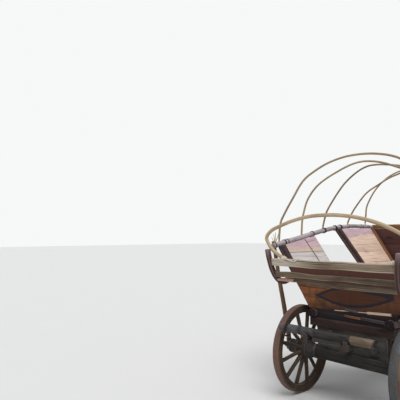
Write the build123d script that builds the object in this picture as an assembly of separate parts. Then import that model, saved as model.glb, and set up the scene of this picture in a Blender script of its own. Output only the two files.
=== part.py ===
from build123d import *
from math import atan2, cos, degrees, radians, sin, sqrt, tan
import os

os.makedirs("parts", exist_ok=True)

# Wheels and track
rear_wheel_radius = 440.0
front_wheel_radius = 400.0
wheelbase = 1850.0
track = 1152.0
tyre_width = 70.0
tyre_thickness = 12.0
felloe_depth = 66.0
felloe_width = 62.0
spoke_count = 12
wheel_dish = 36.0
hub_inner_length = 200.0
hub_outer_length = 130.0
hub_middle_radius = 92.0
hub_end_radius = 66.0
hoop_height = 6.0
hoop_width = 26.0
arm_radius = 30.0
linch_pin_length = 100.0

# Clearances
running_gap = 0.08
moving_gap = 6.0
board_gap = 2.0

# Box
rail_height = 822.0
rail_half_spacing = 394.0
wall_offset = 42.0
bottom_rail_radius = 45.0
top_rail_radius = 31.0
wall_lean = 31.4
board_thickness = 18.0
batten_thickness = 22.0
rung_width = 46.0
rung_depth = 34.0
front_rung_x = 2285.0
rail_fit_gap = 0.3
floor_thickness = 24.0
floor_board_count = 4
end_board_thickness = 24.0
end_board_inset = 20.0
rear_board_height = 440.0
front_board_height = 891.0
front_cap_height = 65.0
front_cap_gap = 3.0
sill_height = 40.0

# Undercarriage
axle_height_section = 110.0
axle_width_section = 110.0
bolster_height = 75.0
bolster_width = 110.0
bolster_half_length = 436.0
rail_notch = 8.0
bed_width = 84.0
bed_half_length = 360.0
timber_edge = 7.0
reach_radius = 40.0
king_pin_radius = 16.0

# Brake beam
brake_beam_radius = 39.0
brake_beam_half_length = 530.0
brake_beam_neck_radius = 25.0
brake_beam_back = 420.0
brake_beam_above_bed = 20.0
brake_arm_spacing = 200.0
link_radius = 62.0
link_wire = 7.0

# Rack at the rear end
rack_half_width = 625.0
rack_arm_thickness = 36.0
rack_arm_width = 56.0
rack_arm_tilt = 9.0
rack_rise = 256.0
slat_thickness = 22.0
ring_radius = 19.0
bow_radius = 11.0

# Pole
pole_radius = 42.0
pole_tip_radius = 30.0
pole_pivot_ahead = 360.0
pole_pivot_height = 482.0
pole_length = 2650.0
pole_bolt_radius = 12.0
hound_width = 50.0
hound_depth = 54.0
yoke_hole_radius = 13.0
yoke_hole_back = 140.0

# Values that follow from the sizes above
half_track = track / 2
lean = radians(wall_lean)
rear_axle_top = rear_wheel_radius + axle_height_section / 2
front_axle_top = front_wheel_radius + axle_height_section / 2
reach_height = rear_axle_top + reach_radius + 20.0
rail_bottom = rail_height - bottom_rail_radius
bolster_bottom = rail_bottom - bolster_height
floor_bottom = rail_bottom + rail_notch
floor_top = floor_bottom + floor_thickness
board_depth = rung_depth / 2 + board_thickness
box_front = front_rung_x + rung_width / 2 + 2.0
brake_beam_height = bolster_bottom + brake_beam_above_bed
rack_base = rail_height + rack_rise
rear_end = brake_beam_back + link_radius
pole_drop = pole_pivot_height - pole_tip_radius - 1.0
pole_reach = sqrt(pole_length ** 2 - pole_drop ** 2)
pole_angle = degrees(atan2(pole_drop, pole_reach))
pole_tip = wheelbase + pole_pivot_ahead + pole_reach + pole_tip_radius * sin(radians(pole_angle))
middle = (pole_tip - rear_end) / 2


def block(x0, x1, y0, y1, z0, z1):
    return Pos((x0 + x1) / 2, (y0 + y1) / 2, (z0 + z1) / 2) * Box(x1 - x0, y1 - y0, z1 - z0)


def timber(x0, x1, half_length, z0, z1):
    beam = block(x0, x1, -half_length, half_length, z0, z1)
    return chamfer(beam.edges().filter_by(Axis.Y), timber_edge)


def rod(start, end, radius):
    line = Line(start, end)
    plane = Plane(origin=start, z_dir=line % 0)
    return extrude(plane * Circle(radius), line.length)


def bent_rod(path, radius):
    plane = Plane(origin=path @ 0, z_dir=path % 0)
    return sweep(plane * Circle(radius), path=path)


def join(shapes):
    first, rest = shapes[0], shapes[1:]
    for shape in rest:
        first = first + shape
    return first


def mirrored(shape):
    return mirror(shape, about=Plane.XZ)


def group(shapes):
    return Compound([solid for shape in shapes for solid in shape.solids()])


def pair(shape):
    return group([shape, mirrored(shape)])


def largest(shape):
    return max(shape.solids(), key=lambda solid: solid.volume)


# Wheel around the Y axis, outward along +Y, rim centred on the origin
def wheel(radius, hub_bore):
    hub_profile = [
        (0, -hub_inner_length),
        (hub_end_radius + hoop_height, -hub_inner_length),
        (hub_end_radius + hoop_height, -hub_inner_length + hoop_width),
        (hub_end_radius, -hub_inner_length + hoop_width),
        (hub_middle_radius - hoop_height, -wheel_dish - 54),
        (hub_middle_radius, -wheel_dish - 54),
        (hub_middle_radius, -wheel_dish + 46),
        (hub_middle_radius - hoop_height, -wheel_dish + 46),
        (hub_end_radius, hub_outer_length - hoop_width),
        (hub_end_radius + hoop_height, hub_outer_length - hoop_width),
        (hub_end_radius + hoop_height, hub_outer_length),
        (0, hub_outer_length),
    ]
    solid_hub = revolve(make_face(Polyline(hub_profile, close=True)), Axis.Y)
    bore = rod((0, -hub_inner_length - 10, 0), (0, hub_outer_length + 10, 0), hub_bore)
    rim_radius = radius - tyre_thickness
    tyre = Plane.XZ * (Circle(radius) - Circle(rim_radius))
    tyre = Pos(0, tyre_width / 2, 0) * extrude(tyre, tyre_width)
    felloes = Plane.XZ * (Circle(rim_radius) - Circle(rim_radius - felloe_depth))
    felloes = Pos(0, felloe_width / 2, 0) * extrude(felloes, felloe_width)
    inner_radius = rim_radius - felloe_depth
    spoke_sections = [
        (60, -wheel_dish, 21, 27),
        (0.55 * inner_radius, -wheel_dish * 0.5, 18, 21),
        (inner_radius + 12, 0, 20, 21),
    ]
    sections = []
    for height, out, half_wide, half_deep in spoke_sections:
        plane = Plane(origin=(0, out, height), x_dir=(1, 0, 0), z_dir=(0, 0, 1))
        sections.append(plane * Ellipse(half_wide, half_deep))
    spoke = loft(sections)
    spokes = [Rot(0, i * 360 / spoke_count, 0) * spoke for i in range(spoke_count)]
    wood = join([felloes] + spokes) - solid_hub
    return solid_hub - bore, wood, tyre


def place_wheel(shape, x, radius, side):
    placed = Pos(x, half_track, radius) * shape
    return placed if side > 0 else mirrored(placed)


nodes = {}
for end, radius, x in (("rear", rear_wheel_radius, 0.0), ("front", front_wheel_radius, wheelbase)):
    pieces = wheel(radius, arm_radius + running_gap)
    for side_name, side in (("left", 1), ("right", -1)):
        for piece_name, piece in zip(("hub", "wheel", "tyre"), pieces):
            nodes[f"{end}_{side_name}_{piece_name}"] = place_wheel(piece, x, radius, side)

# Axle tree with turned arms and linch pins, across the wagon at its wheels' height
stay_eye_half = 16.0
stay_eye_y = half_track + hub_outer_length + moving_gap + stay_eye_half + 4.0
linch_y = stay_eye_y + stay_eye_half + 14.0
arm_end = linch_y + 20.0
shoulder = half_track - hub_inner_length - 4.0


def axle(x, height):
    half = axle_width_section / 2
    deep = axle_height_section / 2
    tree = timber(x - half, x + half, shoulder, height - deep, height + deep)
    arms = rod((x, -arm_end, height), (x, arm_end, height), arm_radius)
    half_pin = linch_pin_length / 2
    pin = rod((x, linch_y, height - half_pin), (x, linch_y, height + half_pin), 9)
    return join([tree, arms, pin, mirrored(pin)])


# Reach, bolsters and beds
half_bed = bed_width / 2
half_bolster = bolster_width / 2
reach = rod((-180, 0, reach_height), (wheelbase + 110, 0, reach_height), reach_radius)
rail_rear = (-75, rail_half_spacing, rail_height)
rail_front = (box_front + 60, rail_half_spacing, rail_height)
rail = rod(rail_rear, rail_front, bottom_rail_radius)
both_rails = rail + mirrored(rail)
king_top = floor_top
king_hole_foot = (wheelbase, 0, front_axle_top)
king_hole = rod(king_hole_foot, (wheelbase, 0, king_top + 60), king_pin_radius + running_gap)


def bolster(x):
    body = timber(x - half_bolster, x + half_bolster, bolster_half_length, bolster_bottom, floor_bottom)
    return body - both_rails


nodes["rear_axle"] = axle(0, rear_wheel_radius)
nodes["rear_axle_bed"] = timber(-half_bed, half_bed, bed_half_length, rear_axle_top, bolster_bottom) - reach
nodes["rear_bolster"] = bolster(0)
nodes["front_bolster"] = bolster(wheelbase) - king_hole
riser = timber(wheelbase - half_bed, wheelbase + half_bed, 200, reach_height - 10, bolster_bottom)
nodes["front_riser"] = riser - reach - king_hole
nodes["reach_pole"] = reach - king_hole
hound_spread, hound_meet, rear_hound_radius = 250.0, 680.0, 26.0
hound_foot = (half_bed - 30, hound_spread + 12, reach_height)
hound_tip = (half_bed + hound_meet, reach_radius + 12, reach_height)
hound = rod(hound_foot, hound_tip, rear_hound_radius)
bed_room = block(-half_bed, half_bed, 0, bed_half_length, rear_axle_top, bolster_bottom)
hound = hound - bed_room - reach
nodes["rear_hounds"] = pair(hound)

# Brake beam with knobbed ends, lying across two arms with upright ends
beam_half = brake_beam_half_length
beam_end_profile = [
    (brake_beam_neck_radius - 4, beam_half),
    (brake_beam_neck_radius + 9, beam_half - 14),
    (brake_beam_neck_radius + 9, beam_half - 60),
    (brake_beam_neck_radius, beam_half - 72),
    (brake_beam_neck_radius, beam_half - 96),
    (brake_beam_radius, beam_half - 110),
]
beam_profile = [(0, beam_half)] + beam_end_profile
beam_profile += [(r, -y) for r, y in reversed(beam_end_profile)] + [(0, -beam_half)]
beam = revolve(make_face(Polyline(beam_profile, close=True)), Axis.Y)
nodes["brake_beam"] = Pos(-brake_beam_back, 0, brake_beam_height) * beam
arm_top = brake_beam_height - brake_beam_radius - running_gap
arm_rear = -brake_beam_back - brake_beam_radius - moving_gap
arm_y0, arm_y1 = brake_arm_spacing - 24, brake_arm_spacing + 24
brake_arm = block(arm_rear - 18, -half_bed, arm_y0, arm_y1, arm_top - 52, arm_top)
brake_arm = brake_arm + block(arm_rear - 18, arm_rear, arm_y0, arm_y1, arm_top - 52, arm_top + 30)
nodes["brake_arms"] = pair(brake_arm)

# Bottom rails and floor
sill_rear, sill_front = -48.0, 4.0
nodes["bottom_rails"] = pair(rail)
floor_half = rail_half_spacing - 8.0
floor_width = 2 * floor_half / floor_board_count
king_room = rod((wheelbase, 0, floor_bottom - 10), (wheelbase, 0, floor_bottom + 100), 40)
boards = []
for row in range(floor_board_count):
    y0 = -floor_half + row * floor_width + board_gap / 2
    y1 = y0 + floor_width - board_gap
    board = block(sill_front + 2, box_front, y0, y1, floor_bottom, floor_top)
    boards.append(board - both_rails - king_room)
nodes["floor_boards"] = group(boards)

# Side walls are drawn on the wall plane: x along the wagon, s up the wall from the bottom rail
wall_origin = (0, rail_half_spacing + wall_offset, rail_height)
wall = Plane(origin=wall_origin, x_dir=(1, 0, 0), z_dir=(0, -cos(lean), sin(lean)))
rail_rear_s, rail_bend_s, rail_front_s = 786.0, 980.0, 1062.0
rail_rear_x, rail_bend_x, rail_front_x = -116.0, 950.0, 2420.0
rail_straight = Line((rail_rear_x, rail_rear_s), (rail_bend_x, rail_bend_s))
rail_curve = TangentArc((rail_bend_x, rail_bend_s), (rail_front_x, rail_front_s), tangent=rail_straight % 1)


def on_wall(x, s, depth=0.0):
    return wall.from_local_coords((x, s, depth))


def rail_s(x):
    if x <= rail_bend_x:
        return rail_rear_s + (rail_bend_s - rail_rear_s) * (x - rail_rear_x) / (rail_bend_x - rail_rear_x)
    centre = rail_curve.arc_center
    return centre.Y + sqrt(rail_curve.radius ** 2 - (x - centre.X) ** 2)


top_rail = bent_rod(wall * rail_straight, top_rail_radius) + bent_rod(wall * rail_curve, top_rail_radius)
nodes["left_top_rail"] = top_rail
nodes["right_top_rail"] = mirrored(top_rail)

# The rail's straight stand-in near one place, for what is fitted to it there
def rail_near(x, radius):
    along = (on_wall(x + 1, rail_s(x + 1)) - on_wall(x - 1, rail_s(x - 1))).normalized()
    centre = on_wall(x, rail_s(x))
    return rod(centre - along * 100, centre + along * 100, radius)


# Rungs, foot and head along the wagon; one more line is a joint between boards
rungs = {
    "rear": (28, 0),
    "second": (780, 690),
    "third": (1530, 1365),
    "front": (front_rung_x, front_rung_x),
}
lines = {"joint": (639, 465), **rungs}
rung_shapes = []
for foot, head in rungs.values():
    start = on_wall(foot, 0)
    direction = on_wall(head, rail_s(head)) - start
    plane = Plane(origin=start, x_dir=(1, 0, 0), z_dir=direction)
    rung = extrude(plane * RectangleRounded(rung_width, rung_depth, 8), direction.length)
    rung_shapes.append(largest(rung - rail - rail_near(head, top_rail_radius + rail_fit_gap)))
nodes["left_side_rungs"] = group(rung_shapes)
nodes["right_side_rungs"] = mirrored(nodes["left_side_rungs"])


def line_x(name, s):
    foot, head = lines[name]
    return foot + (head - foot) * s / rail_s(head)


def top_s(name):
    head = lines[name][1]
    return rail_s(head) - top_rail_radius - 9


def wall_piece(first, last, shift0, shift1, bottom, top, near, thickness):
    s0 = top or top_s(first)
    s1 = top or top_s(last)
    corners = [
        (line_x(first, bottom) + shift0, bottom),
        (line_x(last, bottom) + shift1, bottom),
        (line_x(last, s1) + shift1, s1),
        (line_x(first, s0) + shift0, s0),
    ]
    return extrude(wall.offset(near) * make_face(Polyline(corners, close=True)), thickness)


# Boards inside the rungs: line and shift at each end, bottom and top up the wall (no top: under the rail)
half_gap = board_gap / 2
wall_boards = []
for bottom, top in ((30, 340), (342, 677), (679, None)):
    wall_boards.append(("rear", -20, "joint", -half_gap, bottom, top))
    wall_boards.append(("joint", half_gap, "second", 22, bottom, top))
for bottom, top in ((30, 340), (342, 640), (642, None)):
    wall_boards.append(("third", -20, "front", 20, bottom, top))
board_shapes = [
    wall_piece(first, last, shift0, shift1, bottom, top, rung_depth / 2, board_thickness)
    for first, shift0, last, shift1, bottom, top in wall_boards
]
nodes["left_side_boards"] = group(board_shapes)
nodes["right_side_boards"] = mirrored(nodes["left_side_boards"])

# Battens across the boards' inner faces: line, from and to along the wagon
wall_battens = [("rear", -20, 28), ("third", -22, 22), ("front", -42, 20)]
battens = [
    wall_piece(line, line, start, end, 34, None, board_depth, batten_thickness)
    for line, start, end in wall_battens
]
nodes["side_battens"] = pair(group(battens))


# End boards between the walls
def inner_y(z, inset):
    return rail_half_spacing + wall_offset + (z - rail_height) * tan(lean) - inset / cos(lean)


def end_board(x, bottom, top):
    low, high = inner_y(bottom, end_board_inset), inner_y(top, end_board_inset)
    corners = [(-low, bottom), (low, bottom), (high, top), (-high, top)]
    plane = Plane(origin=(x, 0, 0), x_dir=(0, 1, 0), z_dir=(1, 0, 0))
    return extrude(plane * make_face(Polyline(corners, close=True)), end_board_thickness)


sill_half = rail_half_spacing - 20.0
sill = block(sill_rear, sill_front, -sill_half, sill_half, floor_bottom, floor_top + sill_height)
rear_board_bottom = floor_top + sill_height
rear_board_x = -end_board_thickness - 19.0
rear_board = end_board(rear_board_x, rear_board_bottom, rear_board_bottom + rear_board_height) - both_rails
nodes["rear_board_sill"] = sill - both_rails
cap_bottom = floor_top + front_board_height
front_board = end_board(box_front + 2, floor_bottom, cap_bottom) - both_rails
front_cap_half = int(inner_y(cap_bottom, end_board_inset)) - front_cap_gap
cap_x = box_front + 2 + end_board_thickness
cap_top = cap_bottom + front_cap_height
front_cap = block(box_front + 2, cap_x, -front_cap_half, front_cap_half, cap_bottom, cap_top)
nodes["front_board"] = join([front_board, front_cap])

# Rear stays stand on the axle ends, outside the wheels, and hook to the top rails
rail_here = on_wall(0, rail_s(0))
stay_slope = 0.186
stay_foot = (0, stay_eye_y, rear_wheel_radius)
stay_length = rail_here.Z + 30 - rear_wheel_radius
stay_head = (0, stay_eye_y + stay_slope * stay_length, rear_wheel_radius + stay_length)
stay_plane = Plane(origin=stay_foot, z_dir=Vector(*stay_head) - Vector(*stay_foot))
stay_run = (Vector(*stay_head) - Vector(*stay_foot)).length
stay = loft([stay_plane * Circle(27), stay_plane.offset(stay_run) * Circle(21)])
eye_inner = (0, stay_eye_y - stay_eye_half, rear_wheel_radius)
eye_outer = (0, stay_eye_y + stay_eye_half, rear_wheel_radius)
eye = rod(eye_inner, eye_outer, 46)
hook_y = stay_eye_y + stay_slope * (rail_here.Z - rear_wheel_radius)
hook = rod((0, rail_here.Y, rail_here.Z), (0, hook_y, rail_here.Z), 8)
stay = join([stay, eye, hook]) - nodes["rear_axle"] - rail_near(0, top_rail_radius)
nodes["rear_stays"] = pair(stay)

# Slatted rack: two crooked arms, slats between them
# Arm line: along the wagon, and height over the rack's base
arm_path = [(130, 117), (0, 102), (-130, 80), (-250, 57), (-335, 92), (-395, 184), (-425, 292), (-430, 394)]
arm_plane = Plane(origin=(0, 0, 0), x_dir=(1, 0, 0), z_dir=(0, -1, 0))
arm_line = arm_plane * Spline([(x, rack_base + z) for x, z in arm_path])
arm_start = Plane(origin=arm_line @ 0, x_dir=(0, 1, 0), z_dir=arm_line % 0)
arm = sweep(arm_start * Rectangle(rack_arm_thickness, rack_arm_width), path=arm_line)
tilt_height = rack_base + 262.0
arm = Rot(-rack_arm_tilt, 0, 0) * Pos(0, 0, -tilt_height) * arm
arm = Pos(0, rack_half_width + rack_arm_thickness / 2, tilt_height) * arm
arm = arm - join(rung_shapes) - join(board_shapes) - join(battens) - stay
arm = largest(arm)
nodes["rack_arms"] = pair(arm)
both_arms = arm + mirrored(arm)
nodes["rear_board"] = rear_board - both_arms
reach_y = rack_half_width + 10
rack_back = 419.0
rack_rod_radius = 17.0
# Slats: forward of the rack's back, thickness, from and to across, foot and head over the base
slat_rows = [
    (0, slat_thickness, -reach_y, reach_y, 225, 300),
    (35, slat_thickness, -reach_y, reach_y, 118, 170),
    (123, slat_thickness / 2, -reach_y, 300, 46, 68),
]
slats = [
    block(-rack_back + ahead, -rack_back + ahead + thick, y0, y1, rack_base + z0, rack_base + z1)
    for ahead, thick, y0, y1, z0, z1 in slat_rows
]
rod_x, rod_z = -rack_back + 75, rack_base + 88
slats.append(rod((rod_x, -reach_y, rod_z), (rod_x, reach_y, rod_z), rack_rod_radius))
nodes["rack_slats"] = group([largest(slat - both_arms) for slat in slats])

# Bent wood ring standing on the rack
ring_x = -rack_back + slat_thickness + ring_radius
ring_points = [
    (455, 274), (512, 304), (573, 338), (649, 391), (697, 451), (719, 503), (692, 549), (633, 590),
    (542, 624), (418, 664), (299, 692), (185, 710), (55, 716), (-79, 713), (-226, 696), (-363, 666),
    (-492, 624), (-575, 587), (-653, 545), (-715, 500), (-742, 442), (-728, 382), (-680, 340), (-610, 306),
    (-540, 274),
]
nodes["mouth_ring"] = bent_rod(Spline([(ring_x, y, rack_base + z) for y, z in ring_points]), ring_radius)

# Tilt bows: place along the wagon, then share of the half width and height over the foot
bows = {
    0: [
        (1.0, 0), (0.975, 180), (0.91, 285), (0.765, 460), (0.61, 631), (0.43, 725), (0.22, 795),
        (-0.035, 829), (-0.33, 812), (-0.6, 735), (-0.82, 560), (-0.95, 300), (-1.0, 0),
    ],
    490: [
        (1.0, 0), (0.99, 125), (0.965, 235), (0.89, 407), (0.73, 562), (0.48, 679), (0.2, 762),
        (-0.05, 748), (-0.33, 650), (-0.6, 525), (-0.82, 355), (-0.95, 170), (-1.0, 0),
    ],
    1020: [
        (1.0, 0), (0.965, 117), (0.913, 231), (0.742, 450), (0.6, 585), (0.41, 696), (0.23, 724),
        (-0.066, 679), (-0.36, 592), (-0.65, 450), (-0.87, 255), (-0.97, 110), (-1.0, 0),
    ],
    1700: [
        (1.0, 0), (0.944, 113), (0.865, 228), (0.711, 398), (0.538, 500), (0.345, 592), (0.1, 652),
        (-0.15, 656), (-0.45, 592), (-0.72, 445), (-0.92, 225), (-1.0, 0),
    ],
    2200: [
        (1.0, 0), (0.985, 125), (0.963, 258), (0.848, 457), (0.7, 605), (0.52, 704), (0.28, 752),
        (0.0, 756), (-0.3, 720), (-0.6, 610), (-0.82, 430), (-0.95, 210), (-1.0, 0),
    ],
}
bow_lift = top_rail_radius + 15.0
bow_shapes = []
for x, form in bows.items():
    foot = on_wall(x, rail_s(x))
    base = foot.Z + bow_lift
    points = [(x, foot.Y * across, base + up) for across, up in form]
    peg = rod((x, foot.Y, foot.Z), (x, foot.Y, base + 4), bow_radius + 1)
    peg = largest(peg - rail_near(x, top_rail_radius + rail_fit_gap))
    bow_shapes.append(bent_rod(Spline(points), bow_radius) + peg + mirrored(peg))
nodes["tilt_bows"] = group(bow_shapes)

# Fore-carriage
axle_hole = rod((wheelbase, 0, 300), (wheelbase, 0, 700), king_pin_radius)
bed_top = reach_height - reach_radius - moving_gap
bed = timber(wheelbase - half_bed, wheelbase + half_bed, bed_half_length, front_axle_top, bed_top)
hound_in = pole_radius + moving_gap
hound_out = hound_in + hound_width
hound_bottom = bed_top - hound_depth
hound_rear = wheelbase - 300.0
pivot_x = wheelbase + pole_pivot_ahead
hound = block(hound_rear, pivot_x + 60, hound_in, hound_out, hound_bottom, bed_top)
sweep_bar = block(hound_rear, hound_rear + 50, -hound_in, hound_in, hound_bottom, bed_top)
bolt_half = hound_out + 16
bolt_start = (pivot_x, -bolt_half, pole_pivot_height)
bolt = rod(bolt_start, (pivot_x, bolt_half, pole_pivot_height), pole_bolt_radius)
hounds = join([hound, mirrored(hound), sweep_bar])
front_axle = axle(wheelbase, front_wheel_radius)
nodes["front_hounds"] = hounds - bolt - front_axle
nodes["front_axle_bed"] = bed - hounds - axle_hole
nodes["front_axle"] = front_axle - axle_hole
king_foot = front_wheel_radius - axle_height_section / 2 - 16
king = rod((wheelbase, 0, king_foot), (wheelbase, 0, king_top), king_pin_radius)
nodes["king_pin"] = king + rod((wheelbase, 0, king_top), (wheelbase, 0, king_top + 14), 30)
nodes["pole_bolt"] = bolt

# Pole, drawn level from its bolt and then let down to the ground
straight = 700.0
taper_start = Plane(origin=(straight, 0, 0), z_dir=(1, 0, 0))
taper_end = Plane(origin=(pole_length, 0, 0), z_dir=(1, 0, 0))
pole = rod((-46, 0, 0), (straight, 0, 0), pole_radius)
pole = pole + loft([taper_start * Circle(pole_radius), taper_end * Circle(pole_tip_radius)])
pole = pole - rod((0, -90, 0), (0, 90, 0), pole_bolt_radius + running_gap)
yoke_x = pole_length - yoke_hole_back
pole = pole - rod((yoke_x, 0, -80), (yoke_x, 0, 80), yoke_hole_radius)
nodes["pole"] = Pos(pivot_x, 0, pole_pivot_height) * Rot(0, pole_angle, 0) * pole

# Links and band of the brake beam
link_y = beam_half - 84
link_z = brake_beam_height + brake_beam_neck_radius - (link_radius - 2 * link_wire)
links = []
for side in (1, -1):
    link = Plane(origin=(-brake_beam_back, side * link_y, link_z), z_dir=(0, 1, 0))
    links.append(link * Torus(link_radius - link_wire, link_wire))
band_inner, band_width = 278.0, 26.0
band_start = (-brake_beam_back, band_inner, brake_beam_height)
band_end = (-brake_beam_back, band_inner + band_width, brake_beam_height)
links.append(rod(band_start, band_end, brake_beam_radius + 4) - nodes["brake_beam"])
nodes["brake_beam_links"] = group(links)

for name, shape in nodes.items():
    shape = Pos(-middle, 0, 0) * shape
    shape.label = name
    export_step(shape, f"parts/{name}.step")
print("middle", round(middle, 2), "pole angle", round(pole_angle, 3), "nodes", len(nodes))
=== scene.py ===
from math import atan2, cos, pi, radians, sin, sqrt, tan

import bmesh
import bpy
from mathutils import Matrix, Vector, noise


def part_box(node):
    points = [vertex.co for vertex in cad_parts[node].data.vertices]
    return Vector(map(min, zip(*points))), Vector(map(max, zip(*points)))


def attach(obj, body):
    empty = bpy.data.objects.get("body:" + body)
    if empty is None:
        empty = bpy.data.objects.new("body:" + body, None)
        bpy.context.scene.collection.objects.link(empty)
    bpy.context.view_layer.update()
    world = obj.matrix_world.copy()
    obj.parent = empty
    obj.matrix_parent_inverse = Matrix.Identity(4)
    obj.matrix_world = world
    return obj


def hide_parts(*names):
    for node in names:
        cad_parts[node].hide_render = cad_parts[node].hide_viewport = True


noise.seed_set(7)  # without it, the vector noise differs from run to run
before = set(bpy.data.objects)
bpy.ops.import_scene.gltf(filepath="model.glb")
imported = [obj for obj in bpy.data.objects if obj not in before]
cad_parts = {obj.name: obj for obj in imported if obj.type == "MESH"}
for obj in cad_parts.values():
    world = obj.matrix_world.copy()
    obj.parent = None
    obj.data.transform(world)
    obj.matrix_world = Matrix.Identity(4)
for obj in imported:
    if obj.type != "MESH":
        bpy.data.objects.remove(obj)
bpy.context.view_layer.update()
rearLow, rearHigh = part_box("rear_left_tyre")
frontLow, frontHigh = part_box("front_left_tyre")
rearX = (rearLow.x + rearHigh.x) / 2
wheelbase = (frontLow.x + frontHigh.x) / 2 - rearX


def at(x, y, z):  # metres from the ground under the middle of the rear axle
    return Vector((rearX + x, y, z))


# shader sums: one socket with operators
class Shade:
    def __init__(self, tree, out):
        self.tree, self.out = tree, out

    def node(self, kind, settings, values, out=0):
        made = self.tree.nodes.new(kind)
        for key, value in settings.items():
            setattr(made, key, value)
        for key, value in values.items():
            if isinstance(value, Shade):
                self.tree.links.new(value.out, made.inputs[key])
            else:
                made.inputs[key].default_value = value
        return Shade(self.tree, made.outputs[out])

    def sum(self, operation, other=0.0):
        return self.node("ShaderNodeMath", {"operation": operation}, {0: self, 1: other})

    def vectorSum(self, operation, *others):
        return self.node("ShaderNodeVectorMath", {"operation": operation}, dict(enumerate((self, *others))))

    def __add__(self, other):
        return self.sum("ADD", other)

    def __sub__(self, other):
        return self.sum("SUBTRACT", other)

    def __rsub__(self, other):
        return self.node("ShaderNodeMath", {"operation": "SUBTRACT"}, {0: other, 1: self})

    def __mul__(self, other):
        return self.sum("MULTIPLY", other)

    def __truediv__(self, other):
        return self.sum("DIVIDE", other)

    def __pow__(self, other):
        return self.sum("POWER", other)

    def __abs__(self):
        return self.sum("ABSOLUTE")

    __radd__, __rmul__ = __add__, __mul__

    def low(self, other):
        return self.sum("MINIMUM", other)

    def high(self, other):
        return self.sum("MAXIMUM", other)

    def ramp(self, start, end, low=0.0, high=1.0):
        values = {"Value": self, "From Min": start, "From Max": end, "To Min": low, "To Max": high}
        return self.node("ShaderNodeMapRange", {"interpolation_type": "SMOOTHSTEP"}, values)

    def stretch(self, x, y, z):
        return self.vectorSum("MULTIPLY", (x, y, z))

    def shift(self, other):
        return self.vectorSum("ADD", other)

    def spread(self, x, y, z):  # one number made a vector
        return self.node("ShaderNodeCombineXYZ", {}, {0: self * x, 1: self * y, 2: self * z})

    def parts(self):
        first = self.node("ShaderNodeSeparateXYZ", {}, {0: self})
        return [Shade(self.tree, out) for out in first.out.node.outputs]

    def attribute(self, name, out=2):  # 1 is a vector, 2 a number
        return self.node("ShaderNodeAttribute", {"attribute_name": name}, {}, out)

    def place(self):  # Object coordinates
        return self.node("ShaderNodeTexCoord", {}, {}, 3)

    def clouds(self, scale, detail=4.0, rough=0.6, bend=0.0):
        values = {"Vector": self, "Scale": scale, "Detail": detail, "Roughness": rough, "Distortion": bend}
        return self.node("ShaderNodeTexNoise", {}, values)

    def cells(self, scale):
        return self.node("ShaderNodeTexVoronoi", {"feature": "F1"}, {"Vector": self, "Scale": scale})

    def mix(self, a, b):
        return self.node("ShaderNodeMix", {"data_type": "RGBA"}, {0: self, 6: a, 7: b}, 2)


def tint(*colour):  # a colour picked on screen, 0 to 255
    return tuple(((v / 255 + 0.055) / 1.055) ** 2.4 if v > 10 else v / 3294 for v in colour) + (1.0,)


def withTints(look):
    isColour = {key: isinstance(value, tuple) and len(value) == 3 for key, value in look.items()}
    return {key: tint(*value) if isColour[key] else value for key, value in look.items()}


def newFinish(name, specular):
    material = bpy.data.materials.new(name)
    material.use_nodes = True
    shader = material.node_tree.nodes["Principled BSDF"]
    shader.inputs["Specular IOR Level"].default_value = specular
    return material, shader, Shade(material.node_tree, None)


def connect(shader, pen, colour, rough, height, depth, metal=None):
    bump = pen.node("ShaderNodeBump", {}, {"Height": height, "Distance": depth, "Strength": 1.0})
    for key, value in {"Base Color": colour, "Roughness": rough, "Metallic": metal, "Normal": bump}.items():
        if value is not None:
            pen.tree.links.new(value.out, shader.inputs[key])


# wood: the grain follows each piece's own length, kept in the mesh as "grain"
grainScale = {  # per metre along and across
    "streaks": (2.0, 42), "fibres": (5.0, 190), "patches": (2.4, 6), "splits": (1.1, 95), "knots": (2.2, 7),
}
woodUsual = {
    "scale": 1.0, "splits": 0.36, "splitDepth": 0.8, "knots": 0.7, "stained": 0.5, "rough": 0.78, "depth": 0.0016,
    "worn": 0.6, "wornWidth": 0.012, "endWidth": 0.0035, "ringScale": 900.0,
}


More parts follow.
